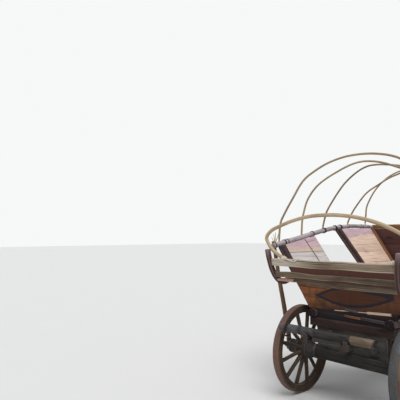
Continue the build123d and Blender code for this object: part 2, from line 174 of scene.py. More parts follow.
def woodFinish(name, look):
    look = withTints({**woodUsual, **look})
    material, shader, pen = newFinish(name, 0.2)
    grain, half = pen.attribute("grain", 1), pen.attribute("half", 1)
    spot = grain.shift(pen.attribute("seed").spread(13.7, 7.1, 3.3))
    field = {}
    for key, (along, across) in grainScale.items():
        field[key] = spot.stretch(along * look["scale"], across * look["scale"], across * look["scale"])
    streaks = field["streaks"].clouds(1.0, 5.0, 0.62, 0.35)
    fibres = field["fibres"].clouds(1.0, 3.0, 0.6)
    patches = field["patches"].clouds(1.0, 4.0, 0.6)
    splits = field["splits"].clouds(1.0, 2.0, 0.5, 0.2).ramp(look["splits"], look["splits"] - 0.035)
    knots = field["knots"].cells(1.0).ramp(0.17, 0.06) * look["knots"]
    # how near the piece's own edges a point is
    alongX, alongY, alongZ = half.vectorSum("SUBTRACT", grain.vectorSum("ABSOLUTE")).parts()
    edge = alongX.low(alongY).high(alongX.high(alongY).low(alongZ))
    worn = (edge + (patches - 0.5) * 0.03).ramp(look["wornWidth"], 0.0) * look["worn"]
    y, z = grain.parts()[1:]
    ends = alongX.ramp(look["endWidth"], 0.0005)
    rings = ((y + 0.01) ** 2.0 + (z - 0.012) ** 2.0) ** 0.5
    rings = ((rings + (patches - 0.5) * 0.01) * look["ringScale"]).sum("SINE") * 0.5 + 0.5
    colour = (streaks * 0.62 + fibres * 0.38).ramp(0.3, 0.7).mix(look["dark"], look["light"])
    colour = (patches.ramp(0.48, 0.66) * look["stained"]).mix(colour, look["stain"])
    if "paint" in look:
        cover = (patches * 0.5 + fibres * 0.25 + streaks * 0.35).ramp(look["bare"] - 0.05, look["bare"] + 0.05)
        colour = cover.mix(colour, look["paint"])
    if "leftTone" in look:
        across = pen.place().parts()[1]
        colour = (across.ramp(0.05, 0.55) * (streaks * 0.5 + 0.45)).mix(colour, look["leftTone"])
    colour = worn.mix(colour, look["edge"])
    # the tip tint is painted light: a painted highlight on the crook ends, painted shade on the floor rail ends
    if "tip" in look:
        reach = alongX.ramp(look["tipReach"], 0.01) * streaks.ramp(0.3, 0.6)
        colour = (reach * look["tipMix"]).mix(colour, look["tip"])
    colour = knots.mix(colour, look["crack"])
    colour = (ends * (rings * 0.5 + 0.4)).mix(colour, look["end"])
    colour = (splits * look["splitDepth"]).mix(colour, look["crack"])
    rough = streaks.ramp(0.2, 0.8, look["rough"] - 0.1, look["rough"] + 0.12)
    height = streaks * 0.5 + fibres * 0.35 - splits * 1.4 - knots * 0.3 + ends * rings * 0.25
    connect(shader, pen, colour, rough, height, look["depth"])
    return material


woodTints = ("light", "dark", "stain", "edge", "crack", "end")
woodLooks = {  # the six tints in that order, then what differs from the usual
    "slatWood": (
        (152, 136, 116), (100, 86, 71), (82, 70, 59), (190, 176, 156), (40, 34, 28), (112, 96, 80),
        {"stained": 0.55, "rough": 0.82, "worn": 0.75, "leftTone": (204, 193, 177)},
    ),
    "lowSlatWood": (
        (122, 106, 88), (78, 66, 54), (62, 53, 45), (156, 138, 116), (34, 28, 23), (96, 82, 68),
        {"stained": 0.6, "rough": 0.82},
    ),
    "rodWood": (
        (206, 183, 150), (154, 133, 106), (126, 109, 92), (224, 204, 176), (62, 50, 40), (136, 114, 88),
        {"stained": 0.4, "rough": 0.62, "worn": 0.0, "splits": 0.24, "depth": 0.0006, "knots": 0.25},
    ),
    "bowWood": (
        (186, 162, 128), (136, 117, 94), (104, 90, 78), (196, 172, 138), (52, 44, 38), (120, 104, 84),
        {"rough": 0.66, "worn": 0.0, "splits": 0.20, "depth": 0.0004, "knots": 0.2},
    ),
    # peeledWood: the peeled wood's own pink, lightened further as painted light
    "peeledWood": (
        (214, 174, 152), (158, 122, 104), (112, 88, 78), (224, 192, 172), (58, 44, 38), (140, 116, 96),
        {"stained": 0.35, "rough": 0.6, "worn": 0.0, "splits": 0.3},
    ),
    "railWood": (
        (198, 187, 188), (146, 135, 139), (104, 94, 100), (216, 208, 206), (52, 42, 44), (110, 90, 84),
        {"rough": 0.7, "worn": 0.0, "splits": 0.30, "knots": 0.45},
    ),
    "brownWood": (
        (116, 92, 68), (72, 55, 42), (56, 43, 40), (140, 116, 90), (26, 21, 18), (92, 74, 58),
        {"rough": 0.74, "worn": 0.35},
    ),
    "rungWood": (
        (92, 70, 68), (54, 42, 43), (42, 35, 37), (120, 100, 92), (22, 18, 18), (88, 70, 62),
        {"rough": 0.74, "worn": 0.4},
    ),
    # armWood: its pale tip tint is a painted highlight on the crook ends
    "armWood": (
        (84, 62, 55), (47, 35, 33), (44, 35, 36), (134, 112, 108), (24, 19, 19), (156, 132, 134),
        {"rough": 0.72, "worn": 0.55, "tip": (150, 124, 134), "tipReach": 0.10, "tipMix": 0.5},
    ),
    "wheelWood": (
        (128, 105, 85), (82, 65, 54), (50, 40, 38), (146, 126, 108), (26, 21, 20), (92, 74, 62),
        {"stained": 0.65, "rough": 0.74, "worn": 0.5, "paint": (82, 58, 50), "bare": 0.60},
    ),
    # hubWood to sillWood: dark worn wood, made darker still with painted shade from under the body
    "hubWood": (
        (66, 60, 59), (36, 33, 34), (27, 25, 26), (94, 86, 81), (16, 14, 15), (70, 58, 52),
        {"stained": 0.6, "worn": 0.3},
    ),
    "darkWood": (
        (72, 65, 62), (39, 36, 36), (30, 28, 29), (98, 90, 84), (13, 12, 12), (60, 50, 46),
        {"stained": 0.6, "rough": 0.8, "worn": 0.45, "depth": 0.0026, "splits": 0.37},
    ),
    "axleWood": (
        (56, 52, 49), (31, 29, 29), (24, 23, 23), (84, 78, 72), (11, 10, 10), (52, 45, 42),
        {"stained": 0.6, "rough": 0.8, "worn": 0.4, "depth": 0.0026, "splits": 0.37},
    ),
    "bedWood": (
        (84, 80, 74), (50, 47, 45), (36, 34, 34), (126, 120, 108), (17, 15, 16), (66, 57, 52),
        {"rough": 0.82, "worn": 0.5, "depth": 0.0024},
    ),
    "bolsterWood": (
        (72, 52, 47), (42, 33, 32), (32, 28, 30), (104, 82, 74), (15, 13, 14), (62, 48, 44), {"worn": 0.35},
    ),
    "sillWood": (
        (38, 32, 34), (22, 20, 24), (18, 17, 21), (64, 52, 52), (18, 14, 16), (70, 54, 50),
        {"rough": 0.7, "worn": 0.5},
    ),
    # logWood: its near-black end and dark tip tints are painted shade on the rail ends, over the end grain's own darker
    # tone
    "logWood": (
        (140, 120, 118), (92, 77, 78), (68, 58, 60), (150, 128, 120), (34, 27, 28), (16, 12, 13),
        {"rough": 0.75, "worn": 0.0, "splits": 0.33, "knots": 0.5, "tip": (48, 35, 37), "tipReach": 0.035,
         "tipMix": 2.0},
    ),
    "hewnWood": (
        (142, 123, 103), (92, 79, 66), (60, 51, 44), (150, 132, 110), (30, 25, 22), (98, 82, 68),
        {"stained": 0.6, "rough": 0.8, "worn": 0.0},
    ),
    "floorWood": (
        (138, 128, 113), (90, 82, 72), (70, 62, 55), (154, 142, 124), (34, 29, 26), (104, 90, 75),
        {"stained": 0.55, "rough": 0.84, "scale": 0.8},
    ),
    "maroonWood": (
        (98, 68, 62), (66, 45, 43), (48, 36, 37), (112, 84, 76), (24, 19, 19), (86, 66, 58),
        {"stained": 0.4, "rough": 0.7, "worn": 0.0, "paint": (84, 54, 50), "bare": 0.56},
    ),
    "capWood": (
        (150, 112, 76), (108, 78, 53), (80, 58, 44), (172, 140, 104), (36, 26, 20), (118, 90, 64),
        {"stained": 0.4, "rough": 0.72, "worn": 0.5},
    ),
    "poleWood": (
        (160, 144, 118), (110, 97, 78), (84, 73, 60), (172, 156, 130), (44, 37, 30), (134, 112, 88),
        {"rough": 0.68, "worn": 0.0, "splits": 0.32, "knots": 0.5},
    ),
    "battenWood": (
        (88, 64, 62), (54, 40, 43), (40, 33, 36), (124, 98, 88), (20, 16, 17), (84, 66, 58),
        {"rough": 0.74, "worn": 0.4},
    ),
    "orangeBatten": (
        (133, 89, 59), (98, 64, 45), (72, 50, 40), (168, 130, 94), (32, 22, 18), (110, 82, 60),
        {"stained": 0.4, "rough": 0.7, "worn": 0.45},
    ),
    "knobWood": (
        (112, 100, 102), (74, 65, 69), (58, 50, 56), (140, 126, 126), (24, 20, 22), (112, 98, 100),
        {"rough": 0.7, "worn": 0.5},
    ),
    "withyWood": (
        (214, 192, 144), (166, 142, 100), (128, 108, 78), (220, 200, 156), (70, 56, 42), (190, 168, 126),
        {"stained": 0.3, "rough": 0.66, "worn": 0.0, "depth": 0.0004},
    ),
    # a darker copy of wheelWood for the left wheels: painted shade
    "shadeWheelWood": (
        (88, 72, 58), (52, 42, 37), (38, 32, 30), (116, 100, 84), (20, 17, 16), (74, 60, 50),
        {"stained": 0.65, "rough": 0.76, "worn": 0.45, "paint": (64, 44, 36), "bare": 0.60},
    ),
}
finishes = {}
for name, (*colours, rest) in woodLooks.items():
    finishes[name] = woodFinish(name, {**dict(zip(woodTints, colours)), **rest})
print("wood finishes", len(finishes))

# iron, paint and rope follow Object coordinates
ironLooks = {
    "tyreIron": {
        "light": (80, 81, 84), "dark": (47, 49, 52), "rust": (58, 52, 49), "rustLight": (78, 70, 65),
        "rustAt": 0.54, "metal": 0.3,
    },
    "tyreRust": {
        "light": (92, 82, 78), "dark": (52, 46, 45), "rust": (78, 54, 46), "rustLight": (120, 88, 73),
        "rustAt": 0.44, "metal": 0.2,
    },
    "bandIron": {
        "light": (64, 63, 66), "dark": (36, 36, 40), "rust": (60, 47, 42), "rustLight": (84, 66, 56),
        "rustAt": 0.54, "metal": 0.35,
    },
    "blackIron": {
        "light": (50, 48, 49), "dark": (28, 28, 31), "rust": (56, 43, 38), "rustLight": (76, 57, 48),
        "rustAt": 0.57, "metal": 0.3,
    },
    "sleeveIron": {
        "light": (86, 85, 88), "dark": (52, 51, 55), "rust": (58, 52, 52), "rustLight": (82, 74, 70),
        "rustAt": 0.60, "metal": 0.4,
    },
}


def ironFinish(name, look):
    look = withTints(look)
    material, shader, pen = newFinish(name, 0.5)
    spot = pen.place()
    patches, grit = spot.clouds(7.0, 5.0, 0.62), spot.clouds(120.0, 4.0, 0.65)
    scale = spot.clouds(34.0, 3.0, 0.6, 0.8)
    rust = (patches * 0.6 + scale * 0.4 + (grit - 0.5) * 0.25).ramp(look["rustAt"] - 0.07, look["rustAt"] + 0.07)
    colour = grit.ramp(0.35, 0.65).mix(look["dark"], look["light"])
    colour = rust.mix(colour, grit.ramp(0.3, 0.7).mix(look["rust"], look["rustLight"]))
    rough = rust * 0.35 + grit * 0.2 + 0.36
    connect(shader, pen, colour, rough, grit * 0.5 + scale * 0.5, 0.0012, (1.0 - rust) * look["metal"])
    return material


boardPaint = {
    "paint": (148, 90, 46), "paintShadedRight": (98, 58, 34), "paintWorn": (84, 56, 41), "stain": (48, 36, 33),
    "bare": (150, 130, 108), "band": (31, 29, 38), "inside": (70, 38, 22), "crack": (28, 21, 20),
    "upper": (84, 52, 44), "lower": (38, 29, 33), "strip": (224, 196, 172), "shade": (38, 31, 36),
    "ovalHalf": 0.379, "ovalCentre": -0.034, "ovalHeight": 0.088, "ovalMiddle": 1.0243, "bandWidth": 0.0125,
    "tilt": -0.0515, "stripHeight": 0.897, "stripLeft": 0.17, "stripRight": -0.40, "boardJoint": 1.12,
}


# the board's old paint: lens-shaped band, painted shade under the rack, a torn bare strip along the foot
def tailboardFinish(look):
    look = withTints(look)
    material, shader, pen = newFinish("paintedTailboard", 0.2)
    spot = pen.place()
    y, z = spot.parts()[1:]
    fibres = spot.stretch(60.0, 3.0, 130.0).clouds(1.0, 4.0, 0.62, 0.2)
    streaks = spot.stretch(20.0, 1.6, 34.0).clouds(1.0, 4.0, 0.6, 0.4)
    patches = spot.clouds(5.0, 5.0, 0.6)
    drips = spot.stretch(30.0, 24.0, 2.2).clouds(1.0, 4.0, 0.6)
    level = z - y * look["tilt"]
    bareSpots = (patches * 0.45 + fibres * 0.35 + streaks * 0.2).ramp(0.60, 0.66)
    # the paint darkens towards the right: painted shade
    paint = (y + (patches - 0.5) * 0.3).ramp(0.02, 0.30).mix(look["paintShadedRight"], look["paint"])
    colour = (streaks * 0.6 + fibres * 0.4).ramp(0.30, 0.62).mix(look["paintWorn"], paint)
    colour = (patches.ramp(0.46, 0.70) * 0.75).mix(colour, look["stain"])
    # the oval and its band, wider at the upper right, where the widening is painted shadow from the rack
    across = abs(y - look["ovalCentre"]) / look["ovalHalf"]
    reach = (1.0 - across.low(1.0) ** 2.0) * look["ovalHeight"]
    off = abs(level - look["ovalMiddle"]) - reach + (patches - 0.5) * 0.016
    upperRightShadow = level.ramp(look["ovalMiddle"], look["ovalMiddle"] + 0.05) * y.ramp(0.0, -0.22)
    wide = upperRightShadow * 0.034 + look["bandWidth"] + (drips - 0.5) * 0.006
    band = (wide - abs(off + (streaks - 0.5) * 0.006)).ramp(-0.003, 0.003) * across.ramp(1.08, 1.02)
    colour = (off.ramp(0.002, -0.002) * 0.88).mix(colour, look["inside"])
    colour = (drips.ramp(0.50, 0.75) * 0.6).mix(colour, look["stain"])
    colour = (z.ramp(1.06, 1.125) * 0.65).mix(colour, look["shade"])  # painted shade cast by the rack above
    colour = (z.ramp(look["boardJoint"] - 0.002, look["boardJoint"] + 0.002) * 0.85).mix(colour, look["upper"])
    colour = (level.ramp(0.985, 0.915) * 0.35).mix(colour, look["stain"])
    colour = (band * (1.0 - bareSpots * 0.45) * 0.95).mix(colour, look["band"])
    colour = (bareSpots * 0.45).mix(colour, look["bare"])
    # the torn strip
    foot = level + (streaks - 0.5) * 0.010 - look["stripHeight"]
    colour = (foot.ramp(0.002, -0.002) * 0.9).mix(colour, look["lower"])
    along = y.ramp(look["stripLeft"], look["stripLeft"] - 0.03)
    along = along * y.ramp(look["stripRight"] - 0.01, look["stripRight"] + 0.01)
    strip = (y.ramp(-0.165, -0.19, 0.0042, 0.0118) - abs(foot + 0.009)).ramp(-0.001, 0.002)
    strip = strip * along * drips.ramp(0.30, 0.40)
    colour = (strip * fibres.ramp(0.2, 0.6, 0.6, 0.95)).mix(colour, look["strip"])
    splits = spot.stretch(30.0, 0.9, 80.0).clouds(1.0, 2.0, 0.5).ramp(0.33, 0.30)
    joint = abs(y + (streaks - 0.5) * 0.012 + 0.015).ramp(0.0032, 0.0012)
    colour = (joint * 0.6).mix(splits.mix(colour, look["crack"]), look["crack"])
    height = fibres * 0.5 - splits - bareSpots * 0.4 - joint * 0.5 - strip * 0.6
    connect(shader, pen, colour, bareSpots * 0.2 + streaks * 0.2 + 0.5, height, 0.0014)
    return material


sideLook = {
    "high": (207, 181, 185), "highDark": (168, 141, 148), "yellow": (222, 198, 176), "low": (217, 210, 205),
    "lowDark": (172, 164, 162), "peach": (238, 211, 190), "peachDark": (201, 171, 151),
    "stain": (136, 110, 104), "crack": (62, 48, 46), "ends": (62, 48, 47),
}


# side boards: faded pink paint above, whitish grey below, peach and bare on the front panel
def sideBoardFinish(look):
    look = withTints(look)
    material, shader, pen = newFinish("sideBoards", 0.3)
    grain, half = pen.attribute("grain", 1), pen.attribute("half", 1)
    height, peach = pen.attribute("upWall"), pen.attribute("tan")
    spot, place = grain.shift(pen.attribute("seed").spread(5.1, 2.3, 7.7)), pen.place()
    streaks = spot.stretch(2.2, 34, 34).clouds(1.0, 5.0, 0.62, 0.4)
    fibres = spot.stretch(5.0, 150, 150).clouds(1.0, 3.0, 0.6)
    patches = place.stretch(3.0, 5.0, 5.0).clouds(1.0, 4.0, 0.6)
    splits = spot.stretch(1.0, 70, 70).clouds(1.0, 2.0, 0.5).ramp(0.31, 0.28)
    mood = (streaks * 0.6 + fibres * 0.4).ramp(0.3, 0.7)
    edge = height + (patches - 0.5) * (peach * 0.22 + 0.01)
    yellow = (edge + (patches - 0.5) * 0.10).ramp(0.10, 0.01) * (1.0 - peach) * 0.8
    upper = yellow.mix(mood.mix(look["highDark"], look["high"]), look["yellow"])
    lower = peach.mix(mood.mix(look["lowDark"], look["low"]), mood.mix(look["peachDark"], look["peach"]))
    colour = edge.ramp(-0.002, 0.003).mix(lower, upper)
    colour = (patches.ramp(0.58, 0.80) * 0.5).mix(colour, look["stain"])
    seam = abs(height + (streaks - 0.5) * 0.004).ramp(0.0045, 0.002) * (1.0 - peach) * 0.8
    colour = (splits * 0.55).high(seam).mix(colour, look["crack"])
    fromEnd = half.parts()[0] - abs(grain.parts()[0])
    colour = fromEnd.ramp(0.0045, 0.0015).mix(colour, look["ends"])
    connect(shader, pen, colour, streaks * 0.2 + 0.66, streaks * 0.5 + fibres * 0.3 - splits, 0.0014)
    return material


ropeLook = {"shade": (196, 186, 160), "light": (240, 232, 212), "twist": 260.0, "sheen": 0.2}


def ropeFinish(look):
    look = withTints(look)
    material, shader, pen = newFinish("rope", 0.5)
    shader.inputs["Sheen Weight"].default_value = look["sheen"]
    spot = pen.place()
    twist = pen.node("ShaderNodeTexWave", {"bands_direction": "DIAGONAL"}, {"Vector": spot, "Scale": look["twist"]})
    fuzz = spot.clouds(320.0, 3.0, 0.6)
    colour = (twist * 0.6 + fuzz * 0.4).ramp(0.25, 0.75).mix(look["shade"], look["light"])
    connect(shader, pen, colour, fuzz * 0.1 + 0.82, twist + fuzz * 0.4, 0.0012)
    return material


finishes.update({name: ironFinish(name, look) for name, look in ironLooks.items()})
finishes["paintedTailboard"] = tailboardFinish(boardPaint)
finishes["sideBoards"] = sideBoardFinish(sideLook)
finishes["rope"] = ropeFinish(ropeLook)
print("finishes", len(finishes))


# shaping: every element is made along X round the origin, marked with its grain, then bent or placed
def turn(origin, along, up):  # sets local X along a way, and local Z nearest to up
    x = Vector(along).normalized()
    y = Vector(up).cross(x).normalized()
    matrix = Matrix((x, y, x.cross(y))).transposed().to_4x4()
    matrix.translation = origin
    return matrix


def place(bm, matrix):
    bmesh.ops.transform(bm, matrix=matrix, verts=bm.verts)
    return bm


def stamp(bm, half, seed):
    layers = bm.verts.layers
    grain, size = layers.float_vector.new("grain"), layers.float_vector.new("half")
    number = layers.float.new("seed")
    for vert in bm.verts:
        vert[grain], vert[size], vert[number] = vert.co.copy(), Vector(half), seed


def cutAlong(bm, length, cuts):
    for i in range(1, cuts):
        geometry = bm.verts[:] + bm.edges[:] + bm.faces[:]
        middle = (-length / 2 + length * i / cuts, 0, 0)
        bmesh.ops.bisect_plane(bm, geom=geometry, plane_co=middle, plane_no=(1, 0, 0))


def roughen(bm, amount, seed, scale=7.0):
    for vert in bm.verts:
        push = noise.noise_vector(vert.co * scale + Vector((seed * 5.3, seed * 2.9, 1.7)))
        fine = noise.noise_vector(vert.co * scale * 6 + Vector((1.1, seed * 3.7, 4.1)))
        vert.co += push * amount + fine * amount * 0.35


bevelShape = {"affect": "EDGES", "segments": 2, "profile": 0.5, "material": -1}
sharpAngle = radians(38)


def plank(length, wide, thick, seed, edge=0.004, cuts=8, rough=0.0015):
    bm = bmesh.new()
    bmesh.ops.create_cube(bm, size=1.0)
    bmesh.ops.scale(bm, vec=(length, wide, thick), verts=bm.verts)
    bmesh.ops.bevel(bm, geom=bm.edges[:], offset=edge, **bevelShape)
    cutAlong(bm, length, cuts)
    stamp(bm, (length / 2, wide / 2, thick / 2), seed)
    roughen(bm, rough, seed)
    return bm


def stick(length, startRadius, endRadius, seed, sides=14, cuts=24, rough=0.0015, rim=0.003, scale=9.0):
    bm = bmesh.new()
    size = {"segments": sides, "radius1": startRadius, "radius2": endRadius, "depth": length}
    bmesh.ops.create_cone(bm, cap_ends=True, cap_tris=False, **size)
    bmesh.ops.rotate(bm, verts=bm.verts, matrix=Matrix.Rotation(pi / 2, 3, "Y"))
    rims = [edge for edge in bm.edges if abs(edge.verts[0].co.x - edge.verts[1].co.x) < 1e-6]
    bmesh.ops.bevel(bm, geom=rims, offset=rim, **bevelShape)
    cutAlong(bm, length, cuts)
    stamp(bm, (length / 2, 1.0, 1.0), seed)
    roughen(bm, rough, seed, scale)
    return bm


def turned(profile, steps, seed=0.0):  # profile rows are (place along X, radius)
    bm = bmesh.new()
    row = [bm.verts.new((x, 0, r)) for x, r in profile]
    for a, b in zip(row, row[1:]):
        bm.edges.new((a, b))
    whole = {"cent": (0, 0, 0), "axis": (1, 0, 0), "angle": 2 * pi, "steps": steps, "use_merge": True}
    bmesh.ops.spin(bm, geom=bm.verts[:] + bm.edges[:], **whole)
    bmesh.ops.remove_doubles(bm, verts=bm.verts, dist=0.00001)
    bmesh.ops.recalc_face_normals(bm, faces=bm.faces)
    stamp(bm, (max(abs(x) for x, r in profile), 1.0, 1.0), seed)
    return bm


def hoop(x0, x1, inner, shoulder, outer, chamfer, steps=32, closed=False):  # a band round X with eased edges
    rows = [(x0, inner), (x0, shoulder), (x0 + chamfer, outer), (x1 - chamfer, outer), (x1, shoulder), (x1, inner)]
    return turned(rows + rows[:1] if closed else rows, steps)


def plainHoop(half, inner, outer, steps):
    return turned([(-half, inner), (-half, outer), (half, outer), (half, inner)], steps)


def ringBar(radius, wire, seed, steps, sides):  # a ring of round bar about X
    angles = [2 * pi * i / sides for i in range(sides + 1)]
    return turned([(wire * sin(a), radius + wire * cos(a)) for a in angles], steps, seed)


def smoothPath(points, steps=10):
    points = [Vector(p) for p in points]
    rows = [points[0] * 2 - points[1]] + points + [points[-1] * 2 - points[-2]]
    line = []
    for a, b, c, d in zip(rows, rows[1:], rows[2:], rows[3:]):
        for t in [i / steps for i in range(steps)]:
            square, cube = 2 * a - 5 * b + 4 * c - d, 3 * b - a - 3 * c + d
            line.append(0.5 * (2 * b + (c - a) * t + square * t * t + cube * t ** 3))
    return line + [points[-1]]


def pathLength(line):
    return sum((b - a).length for a, b in zip(line, line[1:]))


def bend(bm, line, up, length):  # local X runs along the line
    ways, ends, total = [], [0.0], 0.0
    side = Vector(up)
    for a, b in zip(line, line[1:]):
        along = (b - a).normalized()
        side = (side - along * side.dot(along)).normalized()
        ways.append((along, side.copy()))
        total += (b - a).length
        ends.append(total)
    for vert in bm.verts:
        wanted = (vert.co.x / length + 0.5) * total
        reach = min(max(wanted, 0.0), total)
        i = 0
        while i < len(ways) - 1 and ends[i + 1] < reach:
            i += 1
        share = (reach - ends[i]) / max(ends[i + 1] - ends[i], 1e-9)
        j = min(i + 1, len(ways) - 1) if share > 0.5 else max(i - 1, 0)
        along = ways[i][0].lerp(ways[j][0], abs(share - 0.5)).normalized()
        high = ways[i][1].lerp(ways[j][1], abs(share - 0.5))
        high = (high - along * high.dot(along)).normalized()
        middle = line[i].lerp(line[i + 1], share) + along * (wanted - reach)
        vert.co = middle + high.cross(along) * vert.co.y + high * vert.co.z
    return bm


def bentStick(line, up, *shape):
    length = pathLength(line)
    return bend(stick(length, *shape), line, up, length)


flipSides = Matrix.Scale(-1, 4, (0, 1, 0))


def mirrorPlace(side):
    return flipSides if side < 0 else Matrix.Identity(4)


def pour(target, bm, matrix=None):
    if matrix is not None:
        place(bm, matrix)
        if matrix.determinant() < 0:
            bmesh.ops.reverse_faces(bm, faces=bm.faces)
    mesh = bpy.data.meshes.new("part")
    bm.to_mesh(mesh)
    bm.free()
    target.from_mesh(mesh)
    bpy.data.meshes.remove(mesh)
    return target


def mirrorPour(target, bm, matrix=None):  # the element and its mirror image on the other side
    other = bm.copy()
    pour(target, bm, matrix)
    pour(target, other, flipSides @ (matrix or Matrix.Identity(4)))


def newMeshes(count):
    return [bmesh.new() for i in range(count)]


def settle(name, bm, finish, slot, *replaced, body="wagon_body"):
    mesh = bpy.data.meshes.new(name)
    bm.to_mesh(mesh)
    bm.free()
    mesh.materials.append(finishes[finish])
    mesh.shade_smooth()
    mesh.set_sharp_from_angle(angle=sharpAngle)
    obj = bpy.data.objects.new(name, mesh)
    bpy.context.collection.objects.link(obj)
    bpy.context.view_layer.update()
    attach(obj, body)
    if replaced:
        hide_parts(*replaced)


# wheels
wheelLook = {
    "felloes": 6, "felloeDepth": 0.066, "felloeWidth": 0.062, "joint": 0.0024, "firstJoint": 0.13,
    "tyre": 0.012, "tyreWidth": 0.07, "tyreEase": 0.004, "halfTrack": 0.576, "dish": 0.036,
    "spokes": 12, "spokeFoot": 0.055, "spokeDeep": 0.054, "spokeWide": 0.043,
    "hubIn": 0.2, "hubOut": 0.13, "hubMiddle": 0.092, "hubEnd": 0.066,
    # how far it has turned, its finishes, its own seed; the left wheels' darker wood is painted shade
    "left": (0.31, "shadeWheelWood", "tyreRust", 0), "right": (-0.12, "wheelWood", "tyreIron", 7),
}


def spoke(foot, tip, look, seed):
    length = (tip - foot).length
    bm = stick(length, 0.5, 0.5, seed + 20, 12, 14, 0.0, 0.01)
    grain, size = bm.verts.layers.float_vector["grain"], bm.verts.layers.float_vector["half"]
    for vert in bm.verts:
        t = vert.co.x / length + 0.5
        slim = sin(pi * min(max((t - 0.06) / 0.9, 0), 1)) ** 0.7
        deep = look["spokeDeep"] - 0.010 * t - 0.008 * slim
        wide = look["spokeWide"] - 0.003 * t - 0.007 * slim
        vert.co.y *= deep
        vert.co.z *= wide
        vert[grain], vert[size] = vert.co.copy(), Vector((length / 2, deep, wide))
    roughen(bm, 0.0012, seed, 11)
    return bm


def wheelParts(radius, look, seed):
    wood, hub, hoops, tyreMesh = newMeshes(4)
    rim = radius - look["tyre"]
    middle = rim - look["felloeDepth"] / 2
    sweep = 2 * pi / look["felloes"]
    for i in range(look["felloes"]):
        length = middle * sweep - look["joint"]
        part = plank(length, look["felloeWidth"], look["felloeDepth"], seed + i, 0.0055, 14, 0.0014)
        start = i * sweep + look["firstJoint"] + look["joint"] / 2 / middle
        span = sweep - look["joint"] / middle
        arc = [start + span * k / 28 for k in range(29)]
        line = [Vector((middle * sin(a), 0, middle * cos(a))) for a in arc]
        pour(wood, bend(part, line, (sin(start), 0, cos(start)), length))
    foot = Vector((0, -look["dish"], look["spokeFoot"]))
    tip = Vector((0, 0, rim - look["felloeDepth"] + 0.01))
    for i in range(look["spokes"]):
        around = Matrix.Rotation(i * 2 * pi / look["spokes"], 4, "Y")
        pour(wood, spoke(foot, tip, look, seed + i), around @ turn((foot + tip) / 2, tip - foot, (1, 0, 0)))
    near, far, full, slim = -look["hubIn"], look["hubOut"], look["hubMiddle"], look["hubEnd"]
    body = turned([
        (near, 0.0), (near, 0.05), (near + 0.004, slim - 0.002), (near + 0.05, slim + 0.006), (-0.12, full - 0.012),
        (-0.09, full - 0.004), (-0.06, full), (-0.01, full), (0.012, full - 0.006), (0.05, slim + 0.008),
        (0.09, slim + 0.001), (far - 0.004, slim - 0.003), (far, 0.05), (far, 0.0),
    ], 40, seed)
    toY = Matrix.Rotation(pi / 2, 4, "Z")
    roughen(body, 0.0014, seed, 16)
    pour(hub, body, toY)
    for x0, x1, r in (
        (near + 0.0005, near + 0.028, slim + 0.0025), (far - 0.024, far - 0.0005, slim + 0.002),
        (-0.098, -0.082, full - 0.003), (0.012, 0.027, full - 0.0065),
    ):
        pour(hoops, hoop(x0, x1, r - 0.01, r, r + 0.003, 0.001, 40), toY)
    half = look["tyreWidth"] / 2
    tyre = hoop(-half, half, rim, radius - 0.003, radius - 0.0002, look["tyreEase"], 96, True)
    for vert in tyre.verts:
        vert.co.x *= 1 + 0.012 * noise.noise(vert.co * 9 + Vector((seed, 0, 0))) - 0.012
    pour(tyreMesh, tyre, toY)
    return wood, hub, hoops, tyreMesh


for end, x, wheelSeed in (("rear", 0.0, 3.0), ("front", wheelbase, 41.0)):
    low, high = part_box(f"{end}_left_tyre")
    radius = (high.z - low.z) / 2
    for side, sign in (("left", 1), ("right", -1)):
        angle, woodName, ironName, more = wheelLook[side]
        hubPlace = Matrix.Translation(at(x, sign * wheelLook["halfTrack"], radius)) @ mirrorPlace(sign)
        hubPlace = hubPlace @ Matrix.Rotation(angle, 4, "Y")
        for mesh, piece, finish, slot, node in zip(
            wheelParts(radius, wheelLook, wheelSeed + more), ("felloes", "nave", "hoops", "tyre_band"),
            (woodName, "hubWood", "bandIron", ironName), ("brown_wood", "dark_wood", "iron", "iron"),
            ("wheel", "hub", "hub", "tyre"),
        ):
            made = pour(bmesh.new(), mesh, hubPlace)
            settle(f"{end}_{side}_{piece}", made, finish, slot, f"{end}_{side}_{node}", body=f"{end}_{side}_wheel")
print("wheels")


# walls: x along the wagon, s up the wall, depth inward
wallLook = {
    "lean": radians(31.4), "footY": 0.436, "footZ": 0.822, "railRadius": 0.031, "railStart": -0.116,
    "railLength": 2.536, "railRise": (0.786, 0.194), "railKnee": 0.95, "railArc": (2.0136, -4.867, 5.942),
    "rungs": {"rear": (0.028, 0.0), "second": (0.780, 0.690), "third": (1.530, 1.365), "front": (2.285, 2.285)},
    "joint": (0.639, 0.465), "rungWide": 0.046, "rungDeep": 0.034, "board": 0.018, "batten": 0.022,
    "rungFoot": 0.046, "rungUnderRail": 0.028, "boardUnderRail": 0.040, "battenFoot": 0.034,
    "battens": (("rear", -0.020, 0.028, 2), ("third", -0.022, 0.022, 4), ("front", -0.042, 0.020, 6)),
    # boards of each panel: bottom and top of each, the paint's edge and its rise, how warm below
    "rearPanel": (((0.0225, 0.340), (0.342, 0.677), (0.679, None)), 0.678, 0.0, 0.0),
    "frontPanel": (((0.0225, 0.340), (0.342, 0.640), (0.642, None)), 0.845, 0.09, 1.0),
}
lean = wallLook["lean"]
upWall, inward = Vector((0, sin(lean), cos(lean))), Vector((0, -cos(lean), sin(lean)))
boardFace = wallLook["rungDeep"] / 2 + wallLook["board"]


def onWall(x, s, depth=0.0):
    y = wallLook["footY"] + s * sin(lean) - depth * cos(lean)
    return at(x, y, wallLook["footZ"] + s * cos(lean) + depth * sin(lean))


def wallY(z):  # half width of the wagon's wall at a height
    return wallLook["footY"] + (z - wallLook["footZ"]) * tan(lean)


